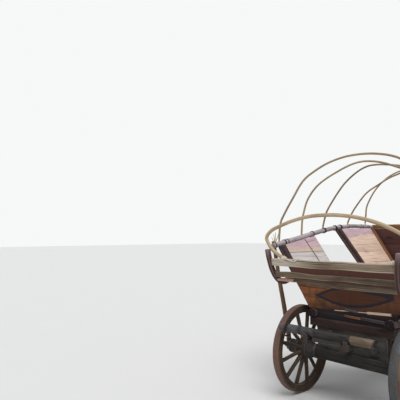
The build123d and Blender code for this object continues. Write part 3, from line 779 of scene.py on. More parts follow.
def railS(x):  # the rail rises straight, then runs in a long arc
    if x <= wallLook["railKnee"]:
        low, rise = wallLook["railRise"]
        return low + rise * (x - wallLook["railStart"]) / (wallLook["railKnee"] - wallLook["railStart"])
    middle, low, radius = wallLook["railArc"]
    return low + sqrt(radius ** 2 - (x - middle) ** 2)


def footAndHead(name):
    return wallLook["joint"] if name == "joint" else wallLook["rungs"][name]


def lineX(name, s):
    foot, head = footAndHead(name)
    return foot + (head - foot) * s / railS(head)


def topS(name):
    return railS(footAndHead(name)[1]) - wallLook["boardUnderRail"]


def wallPlank(first, last, shift0, shift1, bottom, top, near, thick, seed, along=True, edge=0.003):
    s0, s1 = top or topS(first), top or topS(last)
    foot0, foot1 = lineX(first, bottom) + shift0, lineX(last, bottom) + shift1
    head0, head1 = lineX(first, s0) + shift0, lineX(last, s1) + shift1
    length, wide = (foot1 - foot0 + head1 - head0) / 2, (s0 + s1) / 2 - bottom
    bm = plank(*((length, wide) if along else (wide, length)), thick, seed, edge, 8, 0.0009)
    for vert in bm.verts:
        u, v = (vert.co.x, vert.co.y) if along else (-vert.co.y, vert.co.x)
        u, v = u / length + 0.5, v / wide + 0.5
        foot, head = foot0 + (foot1 - foot0) * u, head0 + (head1 - head0) * u
        s = bottom + (s0 + (s1 - s0) * u - bottom) * v
        vert.co = onWall(foot + (head - foot) * v, s, near + thick / 2 + vert.co.z)
    return bm


def markBoards(bm, split, rise, warm):
    high, warmth = bm.verts.layers.float.new("upWall"), bm.verts.layers.float.new("tan")
    for vert in bm.verts:
        up = (vert.co - onWall(0, 0)).dot(upWall)
        vert[high], vert[warmth] = up - split - rise * (vert.co.x - rearX - 1.4), warm
    return bm


boardRows = []  # line and shift at each end, bottom, top, then the paint
for bottom, top in wallLook["rearPanel"][0]:
    boardRows.append((("rear", "joint", -0.020, -0.005, bottom, top), wallLook["rearPanel"][1:]))
    boardRows.append((("joint", "second", 0.005, 0.022, bottom, top), wallLook["rearPanel"][1:]))
for bottom, top in wallLook["frontPanel"][0]:
    boardRows.append((("third", "front", -0.020, 0.020, bottom, top), wallLook["frontPanel"][1:]))
railXs = [wallLook["railStart"] + wallLook["railLength"] * i / 60 for i in range(61)]
railLine = [onWall(x, railS(x)) for x in railXs]
for side, sign in (("left", 1), ("right", -1)):
    flip = mirrorPlace(sign)
    boards, rungs, rail = newMeshes(3)
    for i, (shape, paint) in enumerate(boardRows):
        board = wallPlank(*shape, wallLook["rungDeep"] / 2, wallLook["board"], i * 3 + sign * 2)
        pour(boards, markBoards(board, *paint), flip)
    for i, (foot, head) in enumerate(wallLook["rungs"].values()):
        start, end = onWall(foot, wallLook["rungFoot"]), onWall(head, railS(head) - wallLook["rungUnderRail"])
        rung = plank((end - start).length, wallLook["rungWide"], wallLook["rungDeep"], i * 7 + sign, 0.007, 12, 0.0022)
        pour(rungs, rung, flip @ turn((start + end) / 2, end - start, inward))
    bottom = wallLook["battenFoot"]
    strip = wallPlank("joint", "joint", -0.02, 0.02, bottom, None, 0.010, 0.0065, 19 + sign, False, 0.001)
    pour(rungs, strip, flip)
    pour(rail, bentStick(railLine, (0, 0, 1), 0.0300, 0.0275, 5.0 + sign, 16, 70, 0.0024, 0.005, 5.0), flip)
    settle(f"{side}_wall_boards", boards, "sideBoards", "aged_wood", f"{side}_side_boards")
    settle(f"{side}_wall_rungs", rungs, "rungWood", "brown_wood", f"{side}_side_rungs")
    settle(f"{side}_wall_rail", rail, "railWood", "pale_wood", f"{side}_top_rail")
darkBattens, warmBattens = newMeshes(2)
for name, shift0, shift1, seed in wallLook["battens"]:
    batten = wallPlank(name, name, shift0, shift1, bottom, None, boardFace, wallLook["batten"], seed, False, 0.004)
    mirrorPour(warmBattens if name == "front" else darkBattens, batten)
settle("dark_battens", darkBattens, "battenWood", "brown_wood", "side_battens")
settle("front_battens", warmBattens, "orangeBatten", "brown_wood", "side_battens")
print("walls")


# straight timbers
def beamAcross(x, halfLong, zLow, zHigh, wide, seed, edge=0.007, rough=0.002, cuts=14):
    bm = plank(halfLong * 2, wide, zHigh - zLow, seed, edge, cuts, rough)
    return place(bm, turn(at(x, 0, (zLow + zHigh) / 2), (0, 1, 0), (0, 0, 1)))


def blockAlong(low, high, seed, edge=0.005, rough=0.0015, cuts=10):
    low, high = Vector(low), Vector(high)
    bm = plank(*(high - low), seed, edge, cuts, rough)
    bmesh.ops.translate(bm, vec=at(*((low + high) / 2)), verts=bm.verts)
    return bm


def rodBetween(start, end, r0, r1, seed, sides=14, cuts=16, rough=0.0015, rim=0.003, up=(0, 0, 1)):
    start, end = at(*start), at(*end)
    bm = stick((end - start).length, r0, r1, seed, sides, cuts, rough, rim)
    return place(bm, turn((start + end) / 2, end - start, up))


axleLook = {
    "half": 0.372, "size": 0.11, "armEnd": 0.782, "armRadii": (0.0295, 0.0285), "plate": (0.03, 0.104, 0.1125),
    "pinPlace": 0.762, "pinHalf": 0.049, "pinRadius": 0.0085,
}
for end, x, body, top, seed in (
    ("rear", 0.0, "wagon_body", rearHigh, 11), ("front", wheelbase, "fore_carriage", frontHigh, 15),
):
    height, half, thick = top.z / 2, axleLook["half"], axleLook["size"] / 2
    tree, arms = beamAcross(x, half, height - thick, height + thick, 2 * thick, seed, 0.009), bmesh.new()
    for sign in (1, -1):
        near, far = (x, sign * (half - 0.03), height), (x, sign * axleLook["armEnd"], height)
        pour(arms, rodBetween(near, far, *axleLook["armRadii"], seed, 20, 8, 0.0004))
        low, high = [(x, sign * axleLook["pinPlace"], height + way * axleLook["pinHalf"]) for way in (-1, 1)]
        radii = [axleLook["pinRadius"]] * 2
        pour(arms, rodBetween(low, high, *radii, seed, 12, 6, 0.0004, 0.002, (1, 0, 0)))
        plate = plank(*axleLook["plate"], seed, 0.002, 3, 0.0003)
        pour(arms, plate, turn(at(x, sign * (half - 0.017), height), (0, sign, 0), (0, 0, 1)))
    settle(f"{end}_axle_tree", tree, "axleWood", "dark_wood", f"{end}_axle", body=body)
    settle(f"{end}_axle_arms", arms, "blackIron", "iron", f"{end}_axle", body=body)

bedsAndBolsters = {  # place along, half length, bottom, top, width, seed, edge, roughness; finish, node, body
    "rear_bed_timber": ((0, 0.36, 0.496, 0.702, 0.084, 21, 0.010, 0.003), "bedWood", "rear_axle_bed", "wagon_body"),
    "rear_bolster_timber": (
        (0, 0.436, 0.702, 0.785, 0.110, 22, 0.008, 0.002), "bolsterWood", "rear_bolster", "wagon_body",
    ),
    "front_bolster_timber": (
        (wheelbase, 0.436, 0.702, 0.785, 0.110, 23, 0.008, 0.002), "bolsterWood", "front_bolster", "wagon_body",
    ),
    "front_riser_timber": (
        (wheelbase, 0.2, 0.546, 0.702, 0.084, 24, 0.008, 0.002), "bedWood", "front_riser", "wagon_body",
    ),
    "front_bed_timber": (
        (wheelbase, 0.36, 0.456, 0.509, 0.084, 25, 0.006, 0.0015), "bedWood", "front_axle_bed", "fore_carriage",
    ),
}
for name, (shape, finish, node, body) in bedsAndBolsters.items():
    settle(name, beamAcross(*shape), finish, "dark_wood", node, body=body)

gearLook = {
    # round: both ends, both radii, seed, sides, cuts, roughness, rim
    "reach": ((-0.18, 0, 0.555), (1.96, 0, 0.555), 0.0395, 0.0375, 26, 18, 30, 0.003, 0.006),
    "rearHound": ((0.03, 0.255, 0.555), (0.722, 0.0535, 0.555), 0.0255, 0.0225, 27, 14, 14, 0.002, 0.005),
    "log": ((-0.075, 0.394, 0.822), (2.37, 0.394, 0.822), 0.0445, 0.0425, 31, 20, 40, 0.003, 0.006),
    # square: low and high corner, seed, edge, roughness, cuts
    "brakeArm": ((-0.4815, 0.176, 0.631), (-0.040, 0.224, 0.683), 28, 0.007, 0.002, 10),
    "brakeArmTip": ((-0.4825, 0.178, 0.676), (-0.4655, 0.222, 0.713), 29, 0.004, 0.001, 3),
    "foreHound": ((1.552, 0.048, 0.4555), (2.268, 0.098, 0.5085), 85, 0.006, 0.0015, 16),
    "foreHoundBar": (1.575, 0.047, 0.4555, 0.5085, 0.049, 86, 0.004, 0.001, 4),
}
hounds, arms, rails, floor = newMeshes(4)
settle("reach_timber", rodBetween(*gearLook["reach"]), "darkWood", "dark_wood", "reach_pole")
mirrorPour(hounds, rodBetween(*gearLook["rearHound"]))
settle("rear_hound_timbers", hounds, "darkWood", "dark_wood", "rear_hounds")
mirrorPour(arms, blockAlong(*gearLook["brakeArm"]))
mirrorPour(arms, blockAlong(*gearLook["brakeArmTip"]))
settle("brake_arm_timbers", arms, "darkWood", "dark_wood", "brake_arms")
mirrorPour(rails, rodBetween(*gearLook["log"]))
settle("floor_rails", rails, "logWood", "pale_wood", "bottom_rails")

floorLook = {
    "boards": 4, "firstY": -0.386, "pitch": 0.193, "joint": 0.0015, "x": (0.0065, 2.3095), "z": (0.7855, 0.8088),
}
for i in range(floorLook["boards"]):
    y, joint = floorLook["firstY"] + floorLook["pitch"] * i, floorLook["joint"]
    low, high = zip(floorLook["x"], (y + joint, y + floorLook["pitch"] - joint), floorLook["z"])
    pour(floor, blockAlong(low, high, 33 + i, 0.003, 0.0012, 24))
settle("floor_planks", floor, "floorWood", "aged_wood", "floor_boards")

# tailboard and headboard, cut to the lean of the walls
boardLook = {
    "thick": 0.0235, "inset": 0.0205, "halfMost": 0.9445, "headX": 2.324, "headTop": 1.7005, "capTop": 1.7645,
    "tailPlanks": ((-0.031, 0.850, 1.1185, 41), (-0.0305, 1.1185, 1.288, 43)),  # place along, bottom, top, seed
    "sill": (-0.022, 0.373, 0.7855, 0.849, 0.051, 45, 0.006, 0.0015),
    "headPlanks": ((0.786, 1.019), (1.021, 1.249), (1.251, 1.479), (1.481, 1.6995)), "headJoints": (1.02, 1.25, 1.48),
}


def endPlank(x, zLow, zHigh, thick, seed, edge=0.003):
    inset, high = boardLook["inset"] / cos(lean), zHigh - zLow
    half0, half1 = [min(wallY(z) - inset, boardLook["halfMost"]) for z in (zLow, zHigh)]
    bm = plank(2.0, high, thick, seed, edge, 16, 0.0)
    grain, half = bm.verts.layers.float_vector["grain"], bm.verts.layers.float_vector["half"]
    for vert in bm.verts:
        vert.co.x *= half0 + (half1 - half0) * (vert.co.y / high + 0.5)
        vert[grain], vert[half] = vert.co.copy(), Vector((half1, high / 2, thick / 2))
    roughen(bm, 0.001, seed)
    return place(bm, turn(at(x, 0, (zLow + zHigh) / 2), (0, -1, 0), (-1, 0, 0)))


tail, head, tongues = newMeshes(3)
for x, zLow, zHigh, seed in boardLook["tailPlanks"]:
    pour(tail, endPlank(x, zLow, zHigh, boardLook["thick"], seed))
settle("painted_tailboard", tail, "paintedTailboard", "painted_board", "rear_board")
settle("tailboard_sill", beamAcross(*boardLook["sill"]), "sillWood", "aged_wood", "rear_board_sill")
tailFittings = {  # left end, right end, height, how high, outer and inner face, seed; studs, finish, slot
    "tailboard_plate": ((0.044, -0.089, 0.897, 0.023, -0.0470, -0.0425, 301), (0.032, -0.077), "sleeveIron", "iron"),
    "sill_splint": ((0.046, -0.117, 0.8405, 0.020, -0.0535, -0.0470, 302), (), "orangeBatten", "aged_wood"),
    "sill_chock": ((-0.126, -0.344, 0.837, 0.028, -0.0560, -0.0470, 303), (), "darkWood", "dark_wood"),
}
for name, ((y0, y1, z, high, x0, x1, seed), studs, finish, slot) in tailFittings.items():
    bar = plank(y0 - y1, high, x1 - x0, seed, 0.0015, 8, 0.0008)
    lift = Matrix.Translation(at((x0 + x1) / 2, (y0 + y1) / 2, z)) @ Matrix.Rotation(-boardPaint["tilt"], 4, "X")
    fitted = pour(bmesh.new(), bar, lift @ turn((0, 0, 0), (0, -1, 0), (-1, 0, 0)))
    for y in studs:
        stud = turned([(0, 0.0), (0, 0.0045), (0.0016, 0.004), (0.003, 0.0)], 12)
        spot = at(x0 + 0.0002, y, z - (y + 0.022) * boardPaint["tilt"])
        pour(fitted, stud, turn(spot, (-1, 0, 0), (0, 0, 1)))
    settle(name, fitted, finish, slot)
for i, (zLow, zHigh) in enumerate(boardLook["headPlanks"]):
    pour(head, endPlank(boardLook["headX"], zLow, zHigh, boardLook["thick"], 47 + i))
for z in boardLook["headJoints"]:
    pour(tongues, endPlank(boardLook["headX"], z - 0.012, z + 0.012, 0.008, z * 9, 0.001))
cap = (boardLook["headX"], boardLook["halfMost"], boardLook["headTop"], boardLook["capTop"], boardLook["thick"])
settle("headboard_tongues", tongues, "darkWood", "maroon_board", "front_board")
settle("maroon_headboard", head, "maroonWood", "maroon_board", "front_board")
settle("headboard_cap", beamAcross(*cap, 46, 0.004, 0.0015, 20), "capWood", "maroon_board", "front_board")
print("timbers")


# rear stays, hooked over the rails
stayLook = {
    "foot": (0, 0.732, 0.44), "slope": 0.186, "top": 1.541, "low": 0.0265, "high": 0.0205, "hook": 0.0075,
    "bow": ((0, 0), (0.3, 0.006), (0.6, -0.003), (1, 0)),
    "hookLine": ((0, 0.868, 1.534), (0, 0.884, 1.524), (0, 0.905, 1.512), (0, 0.931, 1.511)),
    "bands": ((0.495, 0.012, 0.018, 0.0275), (1.475, 0.01, 0.014, 0.0225)),  # height, half width, inner, outer
}
stays, irons = newMeshes(2)
foot = Vector(stayLook["foot"])
head = foot + Vector((0, stayLook["slope"], 1)) * (stayLook["top"] - foot.z)
line = smoothPath([at(*(foot.lerp(head, t) + Vector((bow, 0, 0)))) for t, bow in stayLook["bow"]])
mirrorPour(stays, bentStick(line, (1, 0, 0), stayLook["low"], stayLook["high"], 51, 14, 34, 0.0032, 0.006))
eye = hoop(-0.015, 0.015, 0.0315, 0.043, 0.0455, 0.003, 32, True)
mirrorPour(irons, eye, turn(at(*foot), (0, 1, 0), (0, 0, 1)))
line = smoothPath([at(*p) for p in stayLook["hookLine"]], 6)
mirrorPour(irons, bentStick(line, (1, 0, 0), stayLook["hook"], stayLook["hook"], 52, 10, 14, 0.0003, 0.002))
for z, half, inner, outer in stayLook["bands"]:
    middle = at(0, foot.y + stayLook["slope"] * (z - foot.z), z)
    mirrorPour(irons, plainHoop(half, inner, outer, 24), turn(middle, (0, stayLook["slope"], 1), (1, 0, 0)))
settle("stay_poles", stays, "brownWood", "brown_wood", "rear_stays")
settle("stay_irons", irons, "blackIron", "iron", "rear_stays")

# fodder rack: crooked arms, slats, ring
rackLook = {
    "base": 1.078, "armWide": 0.056, "armThick": 0.036, "armY": 0.643, "tilt": radians(9), "tiltHeight": 1.340,
    "path": (  # along, up
        (0.010, 0.104), (-0.130, 0.080), (-0.250, 0.057), (-0.335, 0.092), (-0.395, 0.184), (-0.425, 0.292),
        (-0.430, 0.392),
    ),
    "half": 0.628, "slats": (  # place along, thickness, left end, bottom, top, seed, sag, waviness, edge
        (-0.408, 0.0215, 0.628, 1.305, 1.377, 61, 0.002, 0.006, 0.004),
        (-0.373, 0.0215, 0.628, 1.197, 1.247, 62, 0.002, 0.010, 0.004),
        (-0.2905, 0.0105, 0.298, 1.125, 1.145, 63, 0.001, 0.004, 0.003),
    ),
    "rodX": -0.344, "rodZ": 1.166, "peeledFrom": 0.405, "ringX": -0.378, "ringRadii": (0.0185, 0.0165),
    "ringPath": (  # left, up
        (0.455, 1.352), (0.512, 1.382), (0.573, 1.416), (0.649, 1.469), (0.697, 1.529), (0.719, 1.581), (0.692, 1.627),
        (0.633, 1.668), (0.542, 1.702), (0.418, 1.742), (0.299, 1.770), (0.185, 1.788), (0.055, 1.794), (-0.079, 1.791),
        (-0.226, 1.774), (-0.363, 1.744), (-0.492, 1.702), (-0.575, 1.665), (-0.653, 1.623), (-0.715, 1.578),
        (-0.742, 1.520), (-0.728, 1.460), (-0.680, 1.418), (-0.610, 1.384), (-0.540, 1.352),
    ),
}
crooks, slats, lowSlats, peeled = newMeshes(4)
line = smoothPath([Vector((x, 0, z)) for x, z in rackLook["path"]], 12)
arm = plank(pathLength(line), rackLook["armWide"], rackLook["armThick"], 55, 0.009, 30, 0.0026)
bend(arm, line, (0, 1, 0), pathLength(line))
lift = Matrix.Translation(at(0, rackLook["armY"], rackLook["tiltHeight"])) @ Matrix.Rotation(-rackLook["tilt"], 4, "X")
lift = lift @ Matrix.Translation((0, 0, rackLook["base"] - rackLook["tiltHeight"]))
mirrorPour(crooks, arm, lift)
settle("rack_crooks", crooks, "armWood", "brown_wood", "rack_arms")


def slat(x, thick, left, z0, z1, seed, sag, waney, edge):
    right = -rackLook["half"]
    long, high = left - right, z1 - z0
    bm = plank(long, high, thick, seed, edge, 34, 0.0012)
    for vert in bm.verts:
        t = vert.co.x
        side = 1 if vert.co.y > 0 else -1
        wave = noise.noise(Vector((t * 3.5, seed * 3.1, side * 2.0))) * waney
        vert.co.y += wave * (abs(vert.co.y) / (high / 2))
        vert.co.y += sag * ((2 * t / long) ** 2 - 0.5)
        vert.co.z += noise.noise(Vector((t * 2.2, seed * 1.7, 5.0))) * 0.003
    return place(bm, turn(at(x, (right + left) / 2, (z0 + z1) / 2), (0, -1, 0), (-1, 0, 0)))


def rackRod(y0, y1, r0, r1, seed, cuts, rim):
    ends = [(rackLook["rodX"], y, rackLook["rodZ"]) for y in (y0, y1)]
    return rodBetween(*ends, r0, r1, seed, 12, cuts, 0.0022, rim)


half, split = rackLook["half"], rackLook["peeledFrom"]
for target, shape in zip((slats, lowSlats, lowSlats), rackLook["slats"]):
    pour(target, slat(*shape))
settle("rack_board", slats, "slatWood", "aged_wood", "rack_slats")
pour(peeled, rackRod(split, half, 0.0160, 0.0165, 64, 8, 0.004))
pour(lowSlats, rackRod(-half, split - 0.0005, 0.0150, 0.0155, 65, 28, 0.003))
settle("low_rack_boards", lowSlats, "lowSlatWood", "aged_wood", "rack_slats")
settle("rack_rod", peeled, "peeledWood", "aged_wood", "rack_slats")
line = smoothPath([at(rackLook["ringX"], y, z) for y, z in rackLook["ringPath"]], 8)
ring = bentStick(line, (1, 0, 0), *rackLook["ringRadii"], 66, 16, 120, 0.0016, 0.004, 2.6)
settle("bent_ring", ring, "rodWood", "pale_wood", "mouth_ring")

# tilt bows
bowLook = {  # place along the wagon: share of the half width, height over the foot, between the two feet
    0.0: (
        (0.975, 0.18), (0.91, 0.285), (0.765, 0.46), (0.61, 0.631), (0.43, 0.725), (0.22, 0.795), (-0.035, 0.829),
        (-0.33, 0.812), (-0.6, 0.735), (-0.82, 0.56), (-0.95, 0.3),
    ),
    0.49: (
        (0.99, 0.125), (0.965, 0.235), (0.89, 0.407), (0.73, 0.562), (0.48, 0.679), (0.2, 0.762), (-0.05, 0.748),
        (-0.33, 0.65), (-0.6, 0.525), (-0.82, 0.355), (-0.95, 0.17),
    ),
    1.02: (
        (0.965, 0.117), (0.913, 0.231), (0.742, 0.45), (0.6, 0.585), (0.41, 0.696), (0.23, 0.724), (-0.066, 0.679),
        (-0.36, 0.592), (-0.65, 0.45), (-0.87, 0.255), (-0.97, 0.11),
    ),
    1.7: (
        (0.944, 0.113), (0.865, 0.228), (0.711, 0.398), (0.538, 0.5), (0.345, 0.592), (0.1, 0.652), (-0.15, 0.656),
        (-0.45, 0.592), (-0.72, 0.445), (-0.92, 0.225),
    ),
    2.2: (
        (0.985, 0.125), (0.963, 0.258), (0.848, 0.457), (0.7, 0.605), (0.52, 0.704), (0.28, 0.752), (0.0, 0.756),
        (-0.3, 0.72), (-0.6, 0.61), (-0.82, 0.43), (-0.95, 0.21),
    ),
}
bows = bmesh.new()
for i, (x, form) in enumerate(bowLook.items()):
    foot = onWall(x, railS(x))
    points = [Vector((foot.x, foot.y * share, foot.z + 0.046 + rise)) for share, rise in ((1, 0), *form, (-1, 0))]
    ends = [Vector((foot.x, side * foot.y, foot.z + 0.03)) for side in (1, -1)]
    line = smoothPath(ends[:1] + points + ends[1:])
    pour(bows, bentStick(line, (1, 0, 0), 0.0112, 0.0104, 71 + i, 10, 90, 0.0008, 0.002, 2.4))
settle("bow_hoops", bows, "bowWood", "pale_wood", "tilt_bows")
print("rack, ring and bows")

# brake beam; rows are (place across, radius)
beamLook = {
    "x": -0.42, "z": 0.722, "slim": 0.0335, "full": 0.0382, "half": 0.405, "slimRows": 6,
    "end": (
        (-0.5295, 0.0), (-0.5295, 0.016), (-0.526, 0.023), (-0.516, 0.032), (-0.500, 0.0338), (-0.480, 0.0338),
        (-0.468, 0.031), (-0.459, 0.0255), (-0.435, 0.0245), (-0.428, 0.028), (-0.420, 0.0335),
    ),
    "hewn": (-0.425, 0.021, 10, 0.0384),  # first cut, step, cuts, radius
    "sleeves": ((0.306, 0.414, 0.0375), (0.150, 0.276, 0.0374), (0.130, 0.148, 0.0388)),  # right, left, radius
    "links": (0.442, -0.442), "linkZ": 0.699, "linkRadius": 0.055, "linkWire": 0.0068, "collar": 0.291,
    "split": (0.290, 0.050, 0.046), "splitPlace": (0, 0.004, 0.668), "chip": (0.046, 0.022, 0.020),
    "chipPlace": (-0.006, 0.257, 0.6785),
    "knob": (
        (0.467, 0.026), (0.467, 0.0318), (0.480, 0.0345), (0.502, 0.0347), (0.517, 0.0328), (0.5265, 0.0238),
        (0.5298, 0.0155), (0.5299, 0.0),
    ),
}


def byBeam(x, y, z, along=(0, 1, 0)):  # x from the beam's middle line
    return turn(at(beamLook["x"] + x, y, z), along, (0, 0, 1))


toBeam = byBeam(0, 0, beamLook["z"])
half, slimRows = beamLook["half"], beamLook["slimRows"]
rows = list(beamLook["end"])
rows += [(-half + 2 * half * i / 28, beamLook["slim" if i < slimRows else "full"]) for i in range(29)]
rows += [(-x, r + 0.003 if i == 0 else r) for i, (x, r) in enumerate(reversed(beamLook["end"]))]
beam = turned(rows, 24, 81)
for vert in beam.verts:
    if abs(vert.co.x) < half + 0.005:
        push = noise.noise(Vector((vert.co.x * 7, vert.co.y * 30, vert.co.z * 30))) * 0.0018
        vert.co.y *= 1 - 0.03 + push * 8
        vert.co.z *= 1 - 0.03 + push * 8
settle("brake_beam_timber", place(beam, toBeam), "darkWood", "dark_wood", "brake_beam", body="brake")
knob = turned(beamLook["knob"], 28, 85)
roughen(knob, 0.0004, 85, 16)
settle("beam_left_knob", place(knob, toBeam), "knobWood", "dark_wood", body="brake")
split = plank(*beamLook["split"], 87, 0.008, 16, 0.0034)
for vert in split.verts:
    rise = max(vert.co.x + 0.06, 0) / 0.205
    vert.co.z += 0.012 * rise ** 2 if vert.co.z < 0 else 0
    vert.co.z += 0.003 * noise.noise(vert.co * 26)
place(split, byBeam(*beamLook["splitPlace"], (0, -1, 0)))
settle("beam_split_block", split, "darkWood", "dark_wood", body="brake")
chip = place(plank(*beamLook["chip"], 88, 0.003, 5, 0.001), byBeam(*beamLook["chipPlace"], (0, -1, 0.06)))
settle("beam_chip", chip, "orangeBatten", "brown_wood", body="brake")
first, step, count, r = beamLook["hewn"]
rows = [(-0.436, 0.024), (-0.434, 0.0372)] + [(first + i * step, r) for i in range(count)]
hewn = turned(rows + [(-0.228, 0.0378), (-0.225, 0.026)], 11, 83)
roughen(hewn, 0.0012, 83, 9)
settle("beam_hewn_stretch", place(hewn, toBeam), "hewnWood", "pale_wood", body="brake")

pale, bands, rings = newMeshes(3)
for target, (y0, y1, radius) in zip((pale, bands, bands), beamLook["sleeves"]):
    outer = radius + 0.0016
    pour(target, place(hoop(y0, y1, radius - 0.003, outer - 0.0006, outer, 0.0012), toBeam))
for y in beamLook["links"]:
    link = ringBar(beamLook["linkRadius"], beamLook["linkWire"], 3, 40, 10)
    for vert in link.verts:
        vert.co.x += 0.004 * sin(atan2(vert.co.y, vert.co.z))  # a little out of true
    pour(rings, link, byBeam(0, y, beamLook["linkZ"]))
pour(rings, hoop(-0.013, 0.013, 0.0385, 0.0415, 0.0428, 0.003), byBeam(0, beamLook["collar"], beamLook["z"]))
settle("beam_pale_sleeve", pale, "sleeveIron", "iron", body="brake")
settle("beam_bands", bands, "bandIron", "iron", body="brake")
settle("beam_rings", rings, "blackIron", "iron", "brake_beam_links", body="brake")

# fore-carriage and pole
poleLook = {
    "length": 2.649, "behind": 0.046, "drop": radians(9.799), "pivot": (wheelbase + 0.360, 0, 0.482), "radius": 0.0415,
    "taper": 0.0118, "taperFrom": 0.7, "taperLength": 1.95, "bands": ((0.12, 0.0405), (0.62, 0.0405), (2.44, 0.0300)),
}
hounds, bands = newMeshes(2)
mirrorPour(hounds, blockAlong(*gearLook["foreHound"]))
pour(hounds, beamAcross(*gearLook["foreHoundBar"]))
settle("fore_hounds", hounds, "darkWood", "dark_wood", "front_hounds", body="fore_carriage")
along = Vector((cos(poleLook["drop"]), 0, -sin(poleLook["drop"])))
pivot, behind = at(*poleLook["pivot"]), poleLook["behind"]
length = poleLook["length"] + behind
rod = stick(length, 1.0, 1.0, 91, 18, 60, 0.0, 0.006)
grain = rod.verts.layers.float_vector["grain"]
for vert in rod.verts:
    past = vert.co.x + length / 2 - behind - poleLook["taperFrom"]
    size = poleLook["radius"] - (0 if past < 0 else poleLook["taper"] * past / poleLook["taperLength"])
    vert.co.y *= size
    vert.co.z *= size
    vert[grain] = vert.co.copy()
roughen(rod, 0.0016, 91)
place(rod, turn(pivot + along * (length / 2 - behind), along, (0, 0, 1)))
settle("draught_pole", rod, "poleWood", "pale_wood", "pole", body="pole")
for t, r in poleLook["bands"]:
    pour(bands, plainHoop(0.014, r - 0.004, r + 0.0012, 32), turn(pivot + along * t, along, (0, 0, 1)))
settle("pole_bands", bands, "bandIron", "iron", body="pole")
for name in ("king_pin", "pole_bolt"):  # the CAD pieces stay, in iron
    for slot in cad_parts[name].material_slots:
        slot.material = finishes["blackIron"]
print("brake and fore-carriage")


# small fittings: ties, lashings, withy ends, nails
def lashing(target, centre, along, radius, cordRadius, turns, seed):
    along = Vector(along).normalized()
    side = along.cross(Vector((0, 0, 1))).normalized()
    for i in range(turns):
        loop = ringBar(radius + cordRadius * 0.8, cordRadius, seed, 28, 8)
        sway = 0.10 * noise.noise(Vector((i * 1.3, seed, 0.5)))
        shift = (i - (turns - 1) / 2) * cordRadius * 1.9
        pour(target, loop, turn(Vector(centre) + along * shift, along + side * sway, (0, 0, 1)))


trimLook = {
    "ties": (  # place along, turns, cord's radius
        (-0.093, 3, 0.0028), (0.10, 3, 0.0035), (0.16, 2, 0.003), (0.74, 2, 0.0035), (1.04, 4, 0.004), (1.34, 5, 0.004),
        (1.48, 5, 0.0035), (1.70, 3, 0.0022), (2.05, 2, 0.0022), (2.10, 2, 0.0022), (2.26, 5, 0.0018),
    ),
    "ringFeet": ((0.497, (0, 0.88, 0.47), 3), (-0.588, (0, -0.88, 0.47), 5)),  # place across, the ring's way, seed
    "tuck": (  # the lashing's end, laid over the top slat
        (-0.3935, 0.478, 1.396), (-0.409, 0.468, 1.396), (-0.4228, 0.448, 1.381), (-0.4238, 0.395, 1.366),
        (-0.4238, 0.345, 1.358), (-0.4225, 0.322, 1.370), (-0.411, 0.316, 1.3835), (-0.396, 0.315, 1.379),
        (-0.392, 0.317, 1.362),
    ),
    "withies": (  # tip and radius
        ((-0.100, 0.852, 1.622), 0.0052), ((-0.104, 0.822, 1.640), 0.0058), ((-0.088, 0.790, 1.630), 0.0050),
        ((-0.108, 0.874, 1.588), 0.0046),
    ),
    "nailRadius": 0.0042, "nailProud": 0.0016,
    "boardNails": (("second", 0.006), ("joint", 0.024), ("joint", -0.024)),
    "boardNailRows": (0.07, 0.29, 0.39, 0.62, 0.715),
    "battenNails": (("rear", 0.745), ("third", 0.90), ("front", 0.86)),  # up to where, seven in each
    "headNails": (0.88, 0.97, 1.07, 1.20, 1.30, 1.43, 1.53, 1.65), "tailNails": (0.90, 1.06, 1.16, 1.26),
    "slatNails": ((-0.3838, 1.226), (-0.4188, 1.336), (-0.4188, 1.352)),
}
ties, knots, withies, nails = newMeshes(4)
for x, turns, cordRadius in trimLook["ties"]:
    radius = wallLook["railRadius"] - (0.0048 if x > 1.6 else 0.0015)
    along = onWall(x + 0.01, railS(x + 0.01)) - onWall(x - 0.01, railS(x - 0.01))
    lashing(ties, onWall(x, railS(x)), along, radius, cordRadius, turns, x * 5)
pour(ties, ties.copy(), flipSides)
settle("rail_ties", ties, "blackIron", "iron")
for y, along, seed in trimLook["ringFeet"]:
    lashing(knots, at(rackLook["ringX"], y, 1.374), along, rackLook["ringRadii"][0], 0.0056, 4, seed)
tuck = smoothPath([at(*p) for p in trimLook["tuck"]], 6)
pour(knots, bentStick(tuck, (0.3, 0, 1), 0.0055, 0.0050, 7, 8, 40, 0.0003, 0.001))
settle("ring_lashings", knots, "rope", "pale_wood")
for i, (tip, r) in enumerate(trimLook["withies"]):
    base = onWall(-0.096 + 0.004 * i, railS(-0.096), 0.004 * (i - 1.5)) + Vector((0, 0, 0.012))
    middle = base.lerp(at(*tip), 0.5) + Vector((0.004, -0.006 + 0.004 * i, 0))
    line = smoothPath([base, middle, at(*tip)], 8)
    pour(withies, bentStick(line, (1, 0, 0), r, r * 0.55, 95 + i, 8, 14, 0.0006, 0.001))
settle("rail_withy_ends", withies, "withyWood", "pale_wood")


def nail(point, outward, flip):
    r, h = trimLook["nailRadius"], trimLook["nailProud"]
    dome = turned([(-0.004, r * 0.6), (0.0, r), (h * 0.6, r * 0.8), (h, 0.0)], 10)
    pour(nails, dome, flip @ turn(point, outward, (0, 0, 1)))


